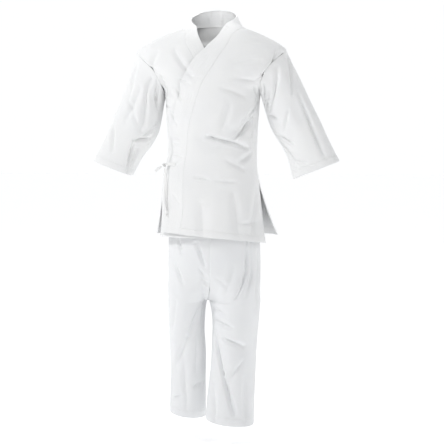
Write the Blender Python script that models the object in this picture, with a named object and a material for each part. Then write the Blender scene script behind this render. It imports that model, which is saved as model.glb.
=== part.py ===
"""A white cotton karate uniform, as worn: a wrap jacket with its side tie, and trousers.

Every panel is a thin closed wall. Its outer face is read from one smooth body form, cut along the
garment's own seams, so neighbours share their edges and stay a hair apart. Sizes in the tables are
millimetres; +X is the wearer's left, -Y the front, +Z up, and the origin is the centre of the neck
where it meets the shoulders.
"""
import bpy
import numpy as np

for old in list(bpy.data.objects):
    bpy.data.objects.remove(old, do_unlink=True)

MM = 0.001

# Cloth
CLOTH_WALL = 2.0
BAND_PROUD = 1.0
TIE_WIDTH = 5.0
SEAM_GAP = 0.3
COLLAR_GAP = 0.5
SLEEVE_SET_OFF = 0.4
MITRE_LIMIT = 0.6

# Grid counts
VENT_ROWS = 6
SIDE_ROWS = 11
ARM_ROWS = 8
FRONT_COLUMNS = 11
NECK_COLUMNS = 8
BAND_COLUMNS = 2
SLEEVE_ROWS = 12
LEG_COLUMNS = 24
LEG_ROWS = 24
RELAX_FROM = 21
RELAX_ROUNDS = 2
HIP_ROWS = 8

# Heights
VENT_TOP = -510.0
ARMPIT = -220.0
BACK_HEM = -702.0
UNDER_HEM = -705.0
OVER_SIDE_HEM = -729.0
SHOULDER_TIP = -82.0
NECK_BACK_SEAM = 10.0

# How square the body's sections are: 1 is an ellipse, and less is squarer
SQUARENESS = 0.88

# How many millimetres of cloth one degree spans, for the folds' widths
BODY_DEGREE = 2.4
SLEEVE_DEGREE = 1.2
LEG_DEGREE = 1.25

# The jacket's sections, columns z, left, right, front, back: where the cloth lies at one height
BODY = (
    (-730, -196, 181, 138, 130),
    (-600, -180, 165, 127, 117),
    (-510, -174, 155, 119, 105),
    (-470, -167, 150, 116, 100),
    (-430, -158, 149, 115, 99),
    (-380, -155, 150, 117, 101),
    (-300, -159, 154, 125, 110),
    (-220, -165, 161, 128, 119),
    (-185, -200, 198, 126, 122),
    (-150, -236, 232, 121, 123),
    (-115, -258, 246, 113, 120),
    (-82, -263, 248, 102, 113),
    (-61, -236, 226, 94, 107),
    (-41, -199, 189, 83, 100),
    (-20, -153, 146, 71, 92),
    (0, -93, 98, 60, 85),
    (20, -80, 88, 52, 80),
    (45, -70, 78, 42, 75),
    (75, -65, 72, 34, 69),
)

# The collar band from hem to neck, columns free_z, free_angle, seam_z, seam_angle: its free edge,
# and the seam that joins it to its front panel
OVER_BAND = (
    (-688, -56, -692, -27),
    (-600, -53, -600, -24),
    (-460, -50, -460, -25),
    (-380, -52, -380, -24),
    (-300, -47, -312, -19),
    (-215, -31, -240, -10.5),
    (-143, -13, -178, -2),
    (-80, -1.4, -109, 6.5),
    (-20, 12.5, -42, 18.5),
    (11, 36, -18, 36),
    (36, 90, 0, 90),
)
UNDER_BAND = (
    (-705, 52, -705, 24),
    (-600, 52, -600, 24),
    (-460, 52, -460, 24),
    (-380, 52, -380, 24),
    (-300, 46, -306, 19),
    (-215, 30, -228, 6),
    (-143, 9, -160, -4),
    (-80, -1.4, -98, -9.2),
    (-25, -11, -44, -19.6),
    (3, -35, -20, -30),
    (31, -90, 0, -90),
)
# Round the back of the neck the band stands up; angles run on through the back at 180 degrees
NECK_BAND = (
    (36, 90, 0, 90),
    (57, 135, 7, 135),
    (65, 180, NECK_BACK_SEAM, 180),
    (56, 225, 7, 225),
    (31, 270, 0, 270),
)

# The armhole's edge on the front and, mirrored, on the back: columns z, angle
ARMHOLE = (
    (ARMPIT, 90),
    (-206, 69),
    (-185, 57),
    (-150, 51),
    (-125, 56),
    (-100, 68),
    (SHOULDER_TIP, 90),
)

# How the layers lie: the over front stands proud at its free edge, the under front lies inside
OVER_LIFT = 3.0
UNDER_DROP = 9.0
LIFT_ANGLE = 35.0
DROP_ANGLE = 18.0
NECK_FADE = (-75.0, -10.0)

# How far the panels spread below the vents, sideways and forwards, and how far the under front's
# side edge is drawn in there
BACK_FLARE = {1: 42.0, -1: 6.0}
FRONT_KICK = {1: -10.0, -1: -3.0}
UNDER_DRAW = 14.0
FLARE_ANGLE = 46.0

# The jacket's largest folds, columns angle_a, z_a, angle_b, z_b, half_width, depth: the two ends,
# the half width and the depth inwards (minus is a ridge)
JACKET_FOLDS = (
    (62, -318, 18, -374, 20, 10),
    (-4, -384, 47, -412, 20, 9),
    (55, -335, 30, -398, 20, -5),
    (28, -178, 58, -186, 20, 5),
    (-30, -206, -22, -258, 19, 6),
    (-42, -300, -34, -330, 17, 5),
    (-66, -236, -44, -262, 17, 7),
    (-12, -512, 24, -532, 20, 5),
    (48, -664, 80, -660, 20, 6),
    (84, -250, 80, -500, 18, 5),
    (-20, -340, -22, -590, 14, -3),
    (8, -560, 14, -705, 30, -4),
    (-38, -560, -42, -700, 24, 4),
    (120, -300, 150, -420, 18, 7),
    (236, -310, 208, -420, 18, 6),
    (150, -430, 212, -440, 18, 6),
    (138, -520, 130, -700, 26, 5),
    (180, -540, 184, -705, 30, -6),
    (226, -520, 232, -700, 26, 5),
    (140, -150, 158, -240, 20, 5),
    (222, -150, 204, -250, 20, 5),
)

# Sleeves, columns outer_x, outer_z, inner_x, inner_z, middle_y, half_depth: where the outer and
# inner edges run, and how far the front and back stand from them
SLEEVE_LEFT = (
    (268, -126, 172, -266, 4, 76),
    (297, -184, 183, -304, 2, 72),
    (327, -245, 202, -350, -1, 67),
    (358, -309, 230, -394, -5, 62),
    (388, -374, 254, -440, -10, 58),
    (427, -450, 273, -511, -16, 53),
)
SLEEVE_RIGHT = (
    (-276, -126, -174, -264, 4, 76),
    (-296, -180, -180, -300, 3, 72),
    (-318, -236, -190, -350, 1, 66),
    (-344, -300, -214, -396, -2, 60),
    (-374, -370, -244, -436, -6, 56),
    (-415, -449, -281, -501, -10, 51),
)
# Sleeve folds, columns around_a, along_a, around_b, along_b, half_width, depth: degrees round from
# the outer edge over the front, and part of the way down
SLEEVE_LEFT_FOLDS = (
    (52, 0.10, 40, 0.42, 15, 5),
    (78, 0.36, 40, 0.86, 16, 6),
    (128, 0.05, 150, 0.30, 15, 6),
    (140, 0.42, 118, 0.66, 14, 4),
    (236, 0.15, 250, 0.55, 18, 6),
    (290, 0.40, 262, 0.80, 18, 5),
)
SLEEVE_RIGHT_FOLDS = (
    (108, 0.00, 142, 0.26, 15, 8),
    (60, 0.48, 66, 0.74, 15, 5),
    (150, 0.60, 132, 0.84, 15, 7),
    (40, 0.16, 58, 0.44, 16, 4),
    (236, 0.15, 252, 0.55, 18, 6),
    (292, 0.40, 262, 0.80, 18, 5),
)

# Trousers: the hips, then each leg from the crotch to the hem
WAIST = -385.0
WAISTBAND_DEPTH = 42.0
WAISTBAND_PROUD = 1.5
CROTCH_START = -800.0
CROTCH = -930.0
CROTCH_ROWS = 6
CROTCH_X = -17.0
GUSSET_FROM = 2
GUSSET_GAP = 2.4
INSEAM_CROWD = 0.06
GUSSET_HALF = 6.0
GUSSET_SPREAD = 0.07
DEPTH_SPREAD = 0.09
HIP_MIDDLE = 4.0
# The hips' sections: columns z, left, right, front, back
HIP = (
    (-1000, -155, 161, 112, 110),
    (-905, -155, 161, 114, 112),
    (-850, -155, 163, 116, 115),
    (-780, -155, 163, 117, 116),
    (-705, -154, 158, 115, 112),
    (-600, -149, 149, 109, 104),
    (-510, -142, 140, 102, 94),
    (-430, -136, 136, 96, 87),
    (-380, -133, 133, 93, 85),
)
# Each leg's sections: columns z, inner, outer, front, back
LEG_LEFT = (
    (-700, 10, 160, -118, 100),
    (-930, -11, 163, -114, 94),
    (-975, -3, 160, -112, 84),
    (-1030, -1, 157, -110, 76),
    (-1120, -4, 151, -108, 58),
    (-1220, -13, 148, -112, 44),
    (-1340, -21, 145, -118, 26),
)
LEG_RIGHT = (
    (-700, -34, -156, -112, 108),
    (-930, -23, -158, -101, 105),
    (-975, -31, -158, -93, 100),
    (-1030, -34, -158, -82, 94),
    (-1120, -29, -157, -64, 86),
    (-1220, -31, -158, -48, 86),
    (-1340, -32, -159, -36, 90),
)
HEM_TILT = {1: 8.0, -1: -7.0}
TILT_FROM = -1200.0
GUSSET_TIP = 0.75
# Leg folds, columns around_a, z_a, around_b, z_b, half_width, depth: degrees round from the inseam
# over the front, and heights
LEG_LEFT_FOLDS = (
    (70, -750, 40, -925, 17, 5),
    (52, -1020, 96, -1036, 14, 6),
    (78, -1062, 150, -1098, 14, 6),
    (46, -1040, 112, -1330, 17, 8),
    (150, -900, 165, -1250, 24, 5),
    (30, -800, 20, -900, 15, 5),
    (270, -960, 300, -1110, 20, 7),
    (240, -1100, 268, -1320, 22, 6),
    (200, -760, 215, -900, 20, 5),
)
LEG_RIGHT_FOLDS = (
    (96, -740, 110, -800, 15, 5),
    (120, -840, 98, -900, 15, 5),
    (60, -960, 118, -1170, 20, 6),
    (46, -1240, 62, -1224, 14, 5),
    (110, -1270, 90, -1262, 14, 4),
    (150, -940, 168, -1280, 24, 5),
    (270, -960, 300, -1110, 20, 7),
    (236, -1120, 262, -1320, 22, 6),
    (200, -760, 215, -900, 20, 5),
)

# The tie at the wearer's right side: the knot, the routes of its two ends and the long end's tip
KNOT_AT = (-157.6, -68.7, -463.2)
KNOT_SIZE = (9.0, 9.0, 9.5)
TAB_ANGLES = (-40.0, -58.0)
TAB_HEIGHTS = (-466.0, -455.0)
TAB_COLUMNS = 6
TAB_WALL = 1.5
LONG_END = (
    (-157.0, -73.0, -473.5),
    (-155.5, -77.0, -479.0),
    (-153.0, -81.0, -488.0),
    (-151.0, -84.0, -502.0),
    (-150.0, -86.0, -520.0),
    (-149.5, -87.5, -540.0),
    (-149.0, -89.0, -562.0),
    (-148.0, -91.0, -586.0),
    (-147.0, -93.0, -606.0),
    (-146.0, -94.5, -622.0),
)
SHORT_END = (
    (-165.8, -70.8, -468.3),
    (-174.0, -72.5, -473.0),
    (-181.0, -74.0, -478.5),
    (-187.0, -75.0, -485.0),
)
TIP_AT = (-145.7, -95.0, -628.5)
TIP_SIZE = (4.5, 4.0, 6.0)


def read_curve(keys, values, at):
    """Read a smooth curve through a table's values, which never swings past them."""
    keys = np.asarray(keys, dtype=float)
    values = np.asarray(values, dtype=float)
    order = np.argsort(keys)
    keys = keys[order]
    values = values[order]
    at = np.clip(np.asarray(at, dtype=float), keys[0], keys[-1])
    steps = np.diff(keys)
    slopes = np.diff(values) / steps
    tangents = np.empty_like(values)
    tangents[0] = slopes[0]
    tangents[-1] = slopes[-1]
    rising = slopes[:-1] * slopes[1:]
    total = slopes[:-1] + slopes[1:]
    safe = np.where(rising > 0, total, 1.0)
    tangents[1:-1] = np.where(rising > 0, 2 * rising / safe, 0.0)
    cell = np.clip(np.searchsorted(keys, at, side="right") - 1, 0, len(steps) - 1)
    width = steps[cell]
    part = (at - keys[cell]) / width
    start = (1 + 2 * part) * (1 - part) ** 2 * values[cell]
    leave = part * (1 - part) ** 2 * width * tangents[cell]
    end = part**2 * (3 - 2 * part) * values[cell + 1]
    arrive = part**2 * (part - 1) * width * tangents[cell + 1]
    return start + leave + end + arrive


def read_table(table, column, at, key=0):
    """Read one column of a table at the given places in its key column."""
    keys = [row[key] for row in table]
    values = [row[column] for row in table]
    return read_curve(keys, values, at)


def ease(value, low, high):
    """Rise smoothly from 0 at low to 1 at high."""
    part = np.clip((value - low) / (high - low), 0, 1)
    return part * part * (3 - 2 * part)


def wrapped(degrees):
    """An angle brought to between -180 and 180 degrees."""
    return (np.asarray(degrees, dtype=float) + 180.0) % 360.0 - 180.0


def fold_depth(across, down, folds, across_scale, period=0.0):
    """How far folds push the cloth inwards at each point; each is a soft trough along a segment."""
    total = np.zeros(np.broadcast(across, down).shape)
    for across_a, down_a, across_b, down_b, half_width, depth in folds:
        off = across - across_a
        if period:
            off = (off + period / 2) % period - period / 2
        right = off * across_scale
        rise = down - down_a
        run_x = (across_b - across_a) * across_scale
        run_z = down_b - down_a
        length = run_x**2 + run_z**2
        part = np.clip((right * run_x + rise * run_z) / length, 0, 1)
        away = np.hypot(right - part * run_x, rise - part * run_z)
        taper = 0.35 + 0.65 * np.sin(np.pi * np.clip(part, 0.08, 0.92))
        total = total + depth * taper * np.exp(-((away / half_width) ** 2))
    return total


def ring_point(table, angle, z):
    """A point of a body section, and the outward direction there."""
    left = read_table(table, 1, z)
    right = read_table(table, 2, z)
    front = read_table(table, 3, z)
    back = read_table(table, 4, z)
    half = (right - left) / 2
    sine = np.sin(np.radians(angle))
    cosine = np.cos(np.radians(angle))
    depth = np.where(cosine > 0, front, back)
    off_x = half * np.sign(sine) * np.abs(sine) ** SQUARENESS
    off_y = -np.sign(cosine) * depth * np.abs(cosine) ** SQUARENESS
    out_x = off_x / half**2
    out_y = off_y / depth**2
    size = np.hypot(out_x, out_y)
    point = np.stack([(left + right) / 2 + off_x, off_y, z * np.ones_like(off_x)], axis=-1)
    outward = np.stack([out_x / size, out_y / size, np.zeros_like(off_x)], axis=-1)
    return point, outward


def free_edge_angle(z):
    """Where the over front's free edge lies at one height."""
    return read_table(OVER_BAND, 1, z, key=0)


def layer_offset(angle, z, layer):
    """How far one front lies outside or inside the body form."""
    below_neck = 1 - ease(z, *NECK_FADE)
    past_edge = wrapped(angle) - free_edge_angle(z)
    if layer == "over":
        return OVER_LIFT * below_neck * (1 - ease(past_edge, 0.0, LIFT_ANGLE))
    if layer == "under":
        return -UNDER_DROP * ease(past_edge, -DROP_ANGLE, DROP_ANGLE / 2) * (1 - ease(z, -60.0, -30.0))
    return np.zeros_like(past_edge)


def vent_shift(angle, z, layer):
    """How a panel spreads sideways and forwards below the vents."""
    side = np.where(wrapped(angle) >= 0, 1, -1)
    drop = np.clip((VENT_TOP - z) / (VENT_TOP - BACK_HEM), 0, 1.1)
    from_side = np.abs(np.abs(wrapped(angle)) - 90.0)
    near = 1 - ease(from_side, 0.0, FLARE_ANGLE)
    amounts = BACK_FLARE if layer == "back" else FRONT_KICK
    amount = np.where(side > 0, amounts[1], amounts[-1]) * near * drop**1.3
    zero = np.zeros_like(amount)
    if layer == "back":
        return np.stack([amount * side, zero, zero], axis=-1)
    drawn = UNDER_DRAW * near * drop**1.3 if layer == "under" else zero
    return np.stack([drawn, amount, zero], axis=-1)


def torso(angle, z, layer):
    """Points of the jacket's body in one of its layers: over, under, back or neck."""
    angle = np.asarray(angle, dtype=float)
    z = np.asarray(z, dtype=float)
    point, outward = ring_point(BODY, angle, z)
    push = layer_offset(angle, z, layer)
    push = push - fold_depth(angle, z, JACKET_FOLDS, BODY_DEGREE, period=360.0)
    point = point + outward * push[..., None]
    if layer in ("over", "under", "back"):
        point = point + vent_shift(angle, z, layer)
    return point


def grid_normals(grid, inside, closed):
    """Normals at a grid's points, pointing away from the given inside point."""
    if closed:
        grid = np.concatenate([grid, grid[:, :1]], axis=1)
    first = grid[1:, 1:] - grid[:-1, :-1]
    second = grid[1:, :-1] - grid[:-1, 1:]
    cells = np.cross(first, second)
    total = np.zeros_like(grid)
    total[1:, 1:] += cells
    total[:-1, :-1] += cells
    total[1:, :-1] += cells
    total[:-1, 1:] += cells
    if closed:
        total[:, 0] += total[:, -1]
        total = total[:, :-1]
        grid = grid[:, :-1]
    facing = np.sum(total * (grid - np.asarray(inside, dtype=float)))
    return total if facing > 0 else -total


def weld_normals(panels):
    """Give panels that meet at a seam one normal there, so that their walls meet in a mitre.

    Where a sleeve folds back on the body, as under the arm, each keeps its own.
    """
    body = {}
    whole = {}
    for panel in panels.values():
        panel["normals"] = grid_normals(panel["grid"], panel["inside"], panel["closed"])
        for row, normals in zip(panel["grid"], panel["normals"]):
            for point, normal in zip(row, normals):
                key = tuple(np.round(point, 2) + 0.0)
                whole[key] = whole.get(key, 0) + normal
                if not panel["sleeve"]:
                    body[key] = body.get(key, 0) + normal
    for panel in panels.values():
        for row, normals in zip(panel["grid"], panel["normals"]):
            for place, point in enumerate(row):
                key = tuple(np.round(point, 2) + 0.0)
                own = normals[place] if panel["sleeve"] else body[key]
                own = own / np.linalg.norm(own)
                mitre = whole[key] / np.linalg.norm(whole[key])
                normals[place] = mitre if np.dot(mitre, own) > MITRE_LIMIT else own


def drawn_in(panel):
    """The panel's grid with its edges drawn in, square to each seam, by half the seam's gap."""
    grid = panel["grid"]
    moved = grid.copy()
    edges = [(0, slice(None), 1, slice(None)), (-1, slice(None), -2, slice(None))]
    if not panel["closed"]:
        edges += [(slice(None), 0, slice(None), 1), (slice(None), -1, slice(None), -2)]
    for row, column, next_row, next_column in edges:
        line = grid[row, column]
        if panel["closed"]:
            along = np.roll(line, -1, axis=0) - np.roll(line, 1, axis=0)
        else:
            along = np.gradient(line, axis=0)
        square = np.cross(panel["normals"][row, column], along)
        square = square / np.linalg.norm(square, axis=-1, keepdims=True)
        inwards = grid[next_row, next_column] - line
        turn = np.sign(np.sum(square * inwards, axis=-1, keepdims=True))
        moved[row, column] += square * turn * panel["gap"] / 2
    return moved


def wall_mesh(name, outer, inner, closed, material):
    """Close an outer and an inner grid into one wall, and make its object."""
    rows, columns = outer.shape[:2]
    points = np.concatenate([outer.reshape(-1, 3), inner.reshape(-1, 3)]) * MM
    second = rows * columns

    def index(row, column, side):
        return side * second + row * columns + column % columns

    faces = []
    spans = columns if closed else columns - 1
    for row in range(rows - 1):
        for column in range(spans):
            quad = [index(row, column, 0), index(row, column + 1, 0)]
            quad += [index(row + 1, column + 1, 0), index(row + 1, column, 0)]
            faces.append(quad)
            faces.append([corner + second for corner in reversed(quad)])
    for column in range(spans):
        for row, turn in ((0, 1), (rows - 1, -1)):
            quad = [index(row, column, 0), index(row, column, 1)]
            quad += [index(row, column + 1, 1), index(row, column + 1, 0)]
            faces.append(quad[::turn])
    if not closed:
        for row in range(rows - 1):
            for column, turn in ((0, -1), (columns - 1, 1)):
                quad = [index(row, column, 0), index(row, column, 1)]
                quad += [index(row + 1, column, 1), index(row + 1, column, 0)]
                faces.append(quad[::turn])
    step_a = outer[1:, 1:] - outer[:-1, :-1]
    step_b = outer[1:, :-1] - outer[:-1, 1:]
    away = outer[:-1, :-1] - inner[:-1, :-1]
    if np.sum(np.cross(step_a, step_b) * away) < 0:
        faces = [face[::-1] for face in faces]
    mesh = bpy.data.meshes.new(name)
    mesh.from_pydata([tuple(point) for point in points], [], faces)
    mesh.update()
    mesh.shade_smooth()
    made = bpy.data.objects.new(name, mesh)
    bpy.context.scene.collection.objects.link(made)
    made.data.materials.append(material)
    return made


def make_wall(name, panel, material):
    """A panel's wall: its points drawn in at the seams, then moved out and in."""
    grid = drawn_in(panel)
    if panel["sleeve"]:
        grid = set_off(grid)
    outer = grid + panel["normals"] * panel["proud"]
    inner = outer - panel["normals"] * panel["wall"]
    return wall_mesh(name, outer, inner, panel["closed"], material)


def panel_of(grid, inside, proud=0.0, gap=SEAM_GAP, wall=None, closed=False, sleeve=False):
    """A panel: its grid of points, a point inside it, how far it stands proud, its gap and its wall."""
    kept = {"grid": grid, "inside": inside, "proud": proud, "gap": gap}
    kept["wall"] = wall or CLOTH_WALL + proud
    kept["closed"] = closed
    kept["sleeve"] = sleeve
    return kept


def cotton(name, colour, roughness):
    """Woven cotton: matt, with its own colour."""
    material = bpy.data.materials.new(name)
    material.use_nodes = True
    shader = material.node_tree.nodes["Principled BSDF"]
    shader.inputs["Base Color"].default_value = (*colour, 1.0)
    shader.inputs["Roughness"].default_value = roughness
    return material


def band_samples(table):
    """Where along a front's band table the panel's rows fall: level below the armpit, even above."""
    heights = np.array([row[2] for row in table], dtype=float)
    places = np.arange(len(table), dtype=float)
    vent = np.linspace(heights[0], VENT_TOP, VENT_ROWS + 1)
    side = np.linspace(VENT_TOP, ARMPIT, SIDE_ROWS + 1)[1:]
    low = np.interp(np.concatenate([vent, side]), heights, places)
    high = np.linspace(low[-1], places[-1], ARM_ROWS + 1)[1:]
    return np.concatenate([low, high])


def side_edge(hem):
    """The side edge of a panel, hem to armpit to shoulder tip, as (angle, z) for the +X front."""
    vent = np.linspace(hem, VENT_TOP, VENT_ROWS + 1)
    side = np.linspace(VENT_TOP, ARMPIT, SIDE_ROWS + 1)[1:]
    places = np.linspace(0, len(ARMHOLE) - 1, ARM_ROWS + 1)[1:]
    steps = range(len(ARMHOLE))
    arm_z = read_curve(steps, [row[0] for row in ARMHOLE], places)
    arm_angle = read_curve(steps, [row[1] for row in ARMHOLE], places)
    z = np.concatenate([vent, side, arm_z])
    angle = np.concatenate([np.full(len(vent) + len(side), 90.0), arm_angle])
    return angle, z


def front_grid(band, hem, mirror, layer):
    """A front panel between its band's seam and its side, seam and armhole edge."""
    samples = band_samples(band)
    seam_z = read_curve(range(len(band)), [row[2] for row in band], samples)
    seam_angle = read_curve(range(len(band)), [row[3] for row in band], samples)
    angle, z = side_edge(hem)
    angle = angle * mirror
    across = np.linspace(0, 1, FRONT_COLUMNS + 1)
    angles = seam_angle[:, None] * (1 - across) + angle[:, None] * across
    heights = seam_z[:, None] * (1 - across) + z[:, None] * across
    return torso(angles, heights, layer)


def back_grid():
    """The back panel, from the +X side round to the -X side, up to the shoulders and neck."""
    right_angle, z = side_edge(BACK_HEM)
    right_angle = 180.0 - right_angle
    left_angle = 360.0 - right_angle
    ridge = np.linspace(0, 1, FRONT_COLUMNS + 1)
    neck = np.linspace(90.0, 270.0, NECK_COLUMNS + 1)[1:]
    neck_z = read_curve([row[3] for row in NECK_BAND], [row[2] for row in NECK_BAND], neck)
    top_angle = np.concatenate([np.full(FRONT_COLUMNS + 1, 90.0), neck, np.full(FRONT_COLUMNS, 270.0)])
    ridge_z = SHOULDER_TIP * (1 - ridge)
    top_z = np.concatenate([ridge_z, neck_z, ridge_z[::-1][1:]])
    count = len(top_angle)
    across = np.linspace(0, 1, count)
    rise = np.concatenate([np.zeros(VENT_ROWS + SIDE_ROWS), np.linspace(0, 1, ARM_ROWS + 1)])[:, None]
    angles = right_angle[:, None] * (1 - across) + left_angle[:, None] * across
    heights = np.repeat(z[:, None], count, axis=1)
    angles = angles + rise**1.2 * (top_angle - (90.0 + 180.0 * across))
    heights = heights + rise * (top_z - SHOULDER_TIP)
    angles[-1] = top_angle
    heights[-1] = top_z
    return relaxed(torso(angles, heights, "back"), RELAX_FROM, RELAX_ROUNDS)


def relaxed(grid, first_row, rounds):
    """Even out a panel's points above one row, leaving its edges where they are."""
    for _ in range(rounds):
        beside = grid[first_row:-1, 2:] + grid[first_row:-1, :-2]
        above = grid[first_row + 1 :, 1:-1] + grid[first_row - 1 : -2, 1:-1]
        grid[first_row:-1, 1:-1] = grid[first_row:-1, 1:-1] / 2 + (beside + above) / 8
    return grid


def band_rows(table, samples):
    """Rows of the band, from its free edge to its seam, as angles and heights."""
    columns = [read_curve(range(len(table)), [row[c] for row in table], samples) for c in range(4)]
    across = np.linspace(0, 1, BAND_COLUMNS + 1)
    heights = columns[0][:, None] * (1 - across) + columns[2][:, None] * across
    angles = columns[1][:, None] * (1 - across) + columns[3][:, None] * across
    return angles, heights


def collar_grid():
    """The collar band in one strip: up the over front, round the neck, down the under front."""
    over = torso(*band_rows(OVER_BAND, band_samples(OVER_BAND)), "over")
    under = torso(*band_rows(UNDER_BAND, band_samples(UNDER_BAND)), "under")
    angles = np.linspace(90.0, 270.0, NECK_COLUMNS + 1)
    rows = [row[3] for row in NECK_BAND]
    free_z = read_curve(rows, [row[0] for row in NECK_BAND], angles)
    seam_z = read_curve(rows, [row[2] for row in NECK_BAND], angles)
    across = np.linspace(0, 1, BAND_COLUMNS + 1)
    heights = free_z[:, None] * (1 - across) + seam_z[:, None] * across
    neck = torso(np.repeat(angles[:, None], BAND_COLUMNS + 1, axis=1), heights, "neck")
    return np.concatenate([over, neck[1:-1], under[::-1]])


def sleeve_grid(front, back, sections, folds):
    """A sleeve from the armhole's own points to the cuff."""
    arm = slice(VENT_ROWS + SIDE_ROWS, None)
    hole = np.concatenate([front[arm], back[arm][::-1][1:-1]])
    turn = np.radians(np.linspace(180.0, -180.0, len(hole) + 1)[:-1])
    rings = [hole]
    for outer_x, outer_z, inner_x, inner_z, middle_y, half_depth in sections:
        middle = np.array([(outer_x + inner_x) / 2, middle_y, (outer_z + inner_z) / 2])
        reach = np.array([(outer_x - inner_x) / 2, 0, (outer_z - inner_z) / 2])
        depth = np.array([0, -half_depth, 0])
        side = np.sign(np.sin(turn)) * np.abs(np.sin(turn)) ** SQUARENESS
        rings.append(middle + np.cos(turn)[:, None] * reach + side[:, None] * depth)
    rings = np.array(rings)
    places = np.linspace(0, len(rings) - 1, SLEEVE_ROWS + 1)
    grid = np.empty((len(places), len(hole), 3))
    for column in range(len(hole)):
        for axis in range(3):
            grid[:, column, axis] = read_curve(range(len(rings)), rings[:, column, axis], places)
    centres = grid.mean(axis=1, keepdims=True)
    outward = grid - centres
    outward = outward / np.linalg.norm(outward, axis=-1, keepdims=True)
    along = places / places[-1]
    length = np.linalg.norm(centres[-1, 0] - centres[0, 0])
    around = np.degrees(turn)[None, :]
    scaled = tuple((f[0], f[1] * length, f[2], f[3] * length, f[4], f[5]) for f in folds)
    depth = fold_depth(around, along[:, None] * length, scaled, SLEEVE_DEGREE, period=360.0)
    depth = depth * ease(along, 0.0, 0.12)[:, None]
    return grid - outward * depth[..., None]


def set_off(grid):
    """A sleeve moved off its armhole, along its own run."""
    run = grid[1].mean(axis=0) - grid[0].mean(axis=0)
    return grid + SLEEVE_SET_OFF * run / np.linalg.norm(run)


def edge_shift(grid, part, close, mirror):
    """How far a leg's edges move sideways to meet in the middle and leave the gusset its diamond."""
    middle = HIP_MIDDLE * (1 - close) + CROTCH_X * close
    open_from = 1 - np.cos(np.pi / 2 * GUSSET_FROM / CROTCH_ROWS)
    half = GUSSET_HALF * np.clip((close - open_from) / (1 - open_from), 0, 1) ** 0.8
    shift = np.zeros(grid.shape[:2])
    upper = close < 1
    for column, edge in ((0, 0.0), (-1, 1.0)):
        wanted = middle + mirror * half - grid[:, column, 0]
        near = np.exp(-(((part[0] - edge) / GUSSET_SPREAD) ** 2))
        shift += (wanted * upper)[:, None] * near
    return shift


def kept_depth(y, part, close, leg_faces, z):
    """How far to stretch each row forwards or back, so the leg keeps its depth as it closes."""
    front = -read_table(HIP, 3, z) * (1 - close) + leg_faces[0] * close
    back = read_table(HIP, 4, z) * (1 - close) + leg_faces[1] * close
    forwards = front.mean(axis=1) / y.min(axis=1)
    backwards = back.mean(axis=1) / y.max(axis=1)
    stretch = np.where(y < 0, forwards[:, None], backwards[:, None])
    from_edge = np.minimum(part, 1 - part)
    return 1 + (stretch - 1) * (1 - np.exp(-((from_edge / DEPTH_SPREAD) ** 2)))


def leg_grid(sections, mirror, folds):
    """A leg: half the hips above the crotch, which closes to a tube down to the hem."""
    hem = sections[-1][0]
    part = np.linspace(0, 1, LEG_COLUMNS + 1)[None, :]
    part = part - INSEAM_CROWD * np.sin(2 * np.pi * part)
    near_edge = np.abs(np.cos(np.pi * part)) ** 1.5
    swing = np.linspace(0, np.pi / 2, CROTCH_ROWS + 1)[1:, None]
    drop = CROTCH - CROTCH_START
    even = swing / (np.pi / 2)
    hip = np.linspace(WAIST - WAISTBAND_DEPTH, CROTCH_START, HIP_ROWS)[:, None] + 0 * part
    curve = CROTCH_START + drop * (np.sin(swing) * near_edge + even * (1 - near_edge))
    tube = np.linspace(CROTCH, hem, LEG_ROWS - HIP_ROWS - CROTCH_ROWS + 2)[1:, None] + 0 * part
    z = np.concatenate([hip, curve, tube])
    closing = (1 - np.cos(swing)) * near_edge + ease(even, 0, 1) * (1 - near_edge)
    close = np.concatenate([0 * hip, closing, 1 + 0 * tube])
    half, outward = ring_point(HIP, mirror * part * 180.0, z)
    inner = read_table(sections, 1, z)
    outer = read_table(sections, 2, z)
    front = read_table(sections, 3, z)
    back = read_table(sections, 4, z)
    around = 2 * np.pi * part
    x = (inner + outer) / 2 - (outer - inner) / 2 * np.cos(around)
    y = (front + back) / 2 + (front - back) / 2 * np.sin(around)
    loop = np.stack([x, y, z * np.ones_like(x)], axis=-1)
    grid = half * (1 - close[..., None]) + loop * close[..., None]
    grid[..., 1] *= kept_depth(grid[..., 1], part, close, (front, back), z)
    grid[..., 0] += edge_shift(grid, part, close[:, 0], mirror)
    centre = grid.mean(axis=1, keepdims=True)
    away = grid - centre
    away = away / np.linalg.norm(away, axis=-1, keepdims=True)
    depth = fold_depth(360.0 * part, z, folds, LEG_DEGREE) * np.sin(np.pi * part) ** 0.5
    depth = depth * ease(-z, 600.0, 700.0)
    grid = grid - away * depth[..., None]
    grid[..., 2] += HEM_TILT[mirror] * np.cos(around) * ease(-z, -TILT_FROM, -hem)
    return grid


def gusset_grid(left, right):
    """The diamond between the legs: down from its front point, under, and up to its back point."""
    rows = np.arange(HIP_ROWS + GUSSET_FROM, HIP_ROWS + CROTCH_ROWS)
    top = rows[0] - 1
    across = np.linspace(0, 1, 5)[None, :, None]

    def tip(column):
        ends = []
        for leg in (right, left):
            ends.append(leg[top, column] + GUSSET_TIP * (leg[rows[0], column] - leg[top, column]))
        return ends

    lines = [tip(0)]
    lines += [(right[row, 0], left[row, 0]) for row in rows]
    lines += [(right[row, -1], left[row, -1]) for row in rows[::-1][1:]]
    lines += [tip(-1)]
    starts = np.array([line[0] for line in lines])[:, None]
    ends = np.array([line[1] for line in lines])[:, None]
    return starts * (1 - across) + ends * across


def waistband_grid():
    """The waistband's casing, a plain ring on top of both legs."""
    z = np.linspace(WAIST - WAISTBAND_DEPTH, WAIST, 3)[:, None]
    angles = np.linspace(0, 360.0, 2 * LEG_COLUMNS + 1)[None, :-1]
    return ring_point(HIP, angles, z)[0]


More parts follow.
